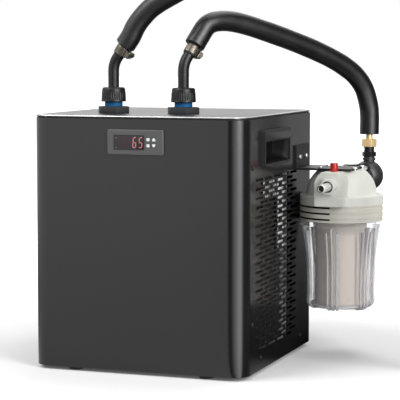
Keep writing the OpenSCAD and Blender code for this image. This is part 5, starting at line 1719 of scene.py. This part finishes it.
class CHILLER_OT_inside(bpy.types.Operator):
    """Finishes what shows through the vents and what is hidden behind the panels"""

    bl_idname = "chiller.inside"
    bl_label = "Inside"

    def execute(self, context):
        dress(aluminium(), "condenser")
        dress(coat("galvanised sheet"), "fan_shroud", "electrics_box")
        dress(coat("motor paint"), "fan_motor", "compressor")
        dress(coat("grained black plastic"), "fan_blade")
        dress(coat("tank lagging"), "chiller_tank")
        dress(coat("white fitting plastic"), "water_pipes")
        dress(coat("black rubber"), "compressor_mounts")
        dress(coat("drawn copper"), "copper_lines")
        self.hairpins()
        self.folds()
        return {"FINISHED"}

    def folds(self):
        """Sheet close behind the right vents: one wide upright fold of the shroud, and before it short narrow
        folds at the top."""
        folds = [box((150.4, 5, 160), (151.9, 35, 263), 0.3)]
        folds += [box((150.4, y, 236), (151.9, y + 1.6, 263), 0.3) for y in range(-60, 4, 9)]
        add_piece("shroud_folds", folds, coat("galvanised sheet"))

    def hairpins(self):
        """Copper return bends at the core's front end: half circles whose legs run back into the fins."""
        shells = []
        t = np.linspace(0, math.pi, 10)
        for k in range(9):
            z = 46 + 25.4 * k
            for x in (106, 128):
                bend = np.stack([0 * t + x, -112.5 - 9.5 * np.sin(t), z + 9.5 * (1 - np.cos(t))], -1)
                path = np.concatenate([[(x, -109.8, z)], bend, [(x, -109.8, z + 19)]])
                shells.append(drawn(path, 3.6, 14, (1, 0, 0)))
        for z, front, rear in ((262, -98, -52), (249, -86, -40), (236, -97, -58)):
            line = smooth(
                [
                    (146.2, front - 8, z - 14), (146.2, front - 3, z - 4), (146.2, front + 6, z),
                    (146.2, rear - 6, z + 1), (146.2, rear + 3, z - 3), (146.2, rear + 8, z - 14)
                ],
                6
            )
            shells.append(drawn(line, 2.4, 12, (1, 0, 0)))
        add_piece("copper_bends", shells, coat("drawn copper"))


# ---------------------------------------------------------------- panel and registration


OPERATORS = (
    CHILLER_OT_stage, CHILLER_OT_cabinet, CHILLER_OT_controller, CHILLER_OT_unions, CHILLER_OT_hoses,
    CHILLER_OT_valve, CHILLER_OT_filter, CHILLER_OT_inside
)


class CHILLER_PT_pieces(bpy.types.Panel):
    """Lists the groups of pieces, with the sizes and colours that they use"""

    bl_label = "Ice bath chiller"
    bl_idname = "CHILLER_PT_pieces"
    bl_space_type = "VIEW_3D"
    bl_region_type = "UI"
    bl_category = "Chiller"

    def draw(self, context):
        for group in (context.scene.chiller_colours, context.scene.chiller_sizes):
            for key in group.__annotations__:
                self.layout.prop(group, key)
        for operator in OPERATORS:
            self.layout.operator(operator.bl_idname)


CLASSES = (ChillerColours, ChillerSizes, *OPERATORS, CHILLER_PT_pieces)


def register():
    for cls in CLASSES:
        bpy.utils.register_class(cls)
    bpy.types.Scene.chiller_colours = PointerProperty(type=ChillerColours)
    bpy.types.Scene.chiller_sizes = PointerProperty(type=ChillerSizes)


def unregister():
    del bpy.types.Scene.chiller_sizes
    del bpy.types.Scene.chiller_colours
    for cls in reversed(CLASSES):
        bpy.utils.unregister_class(cls)


def main():
    register()
    bpy.ops.chiller.stage()
    bpy.ops.chiller.cabinet()
    bpy.ops.chiller.controller()
    bpy.ops.chiller.unions()
    bpy.ops.chiller.hoses()
    bpy.ops.chiller.valve()
    bpy.ops.chiller.filter()
    bpy.ops.chiller.inside()


if __name__ == "__main__":
    main()
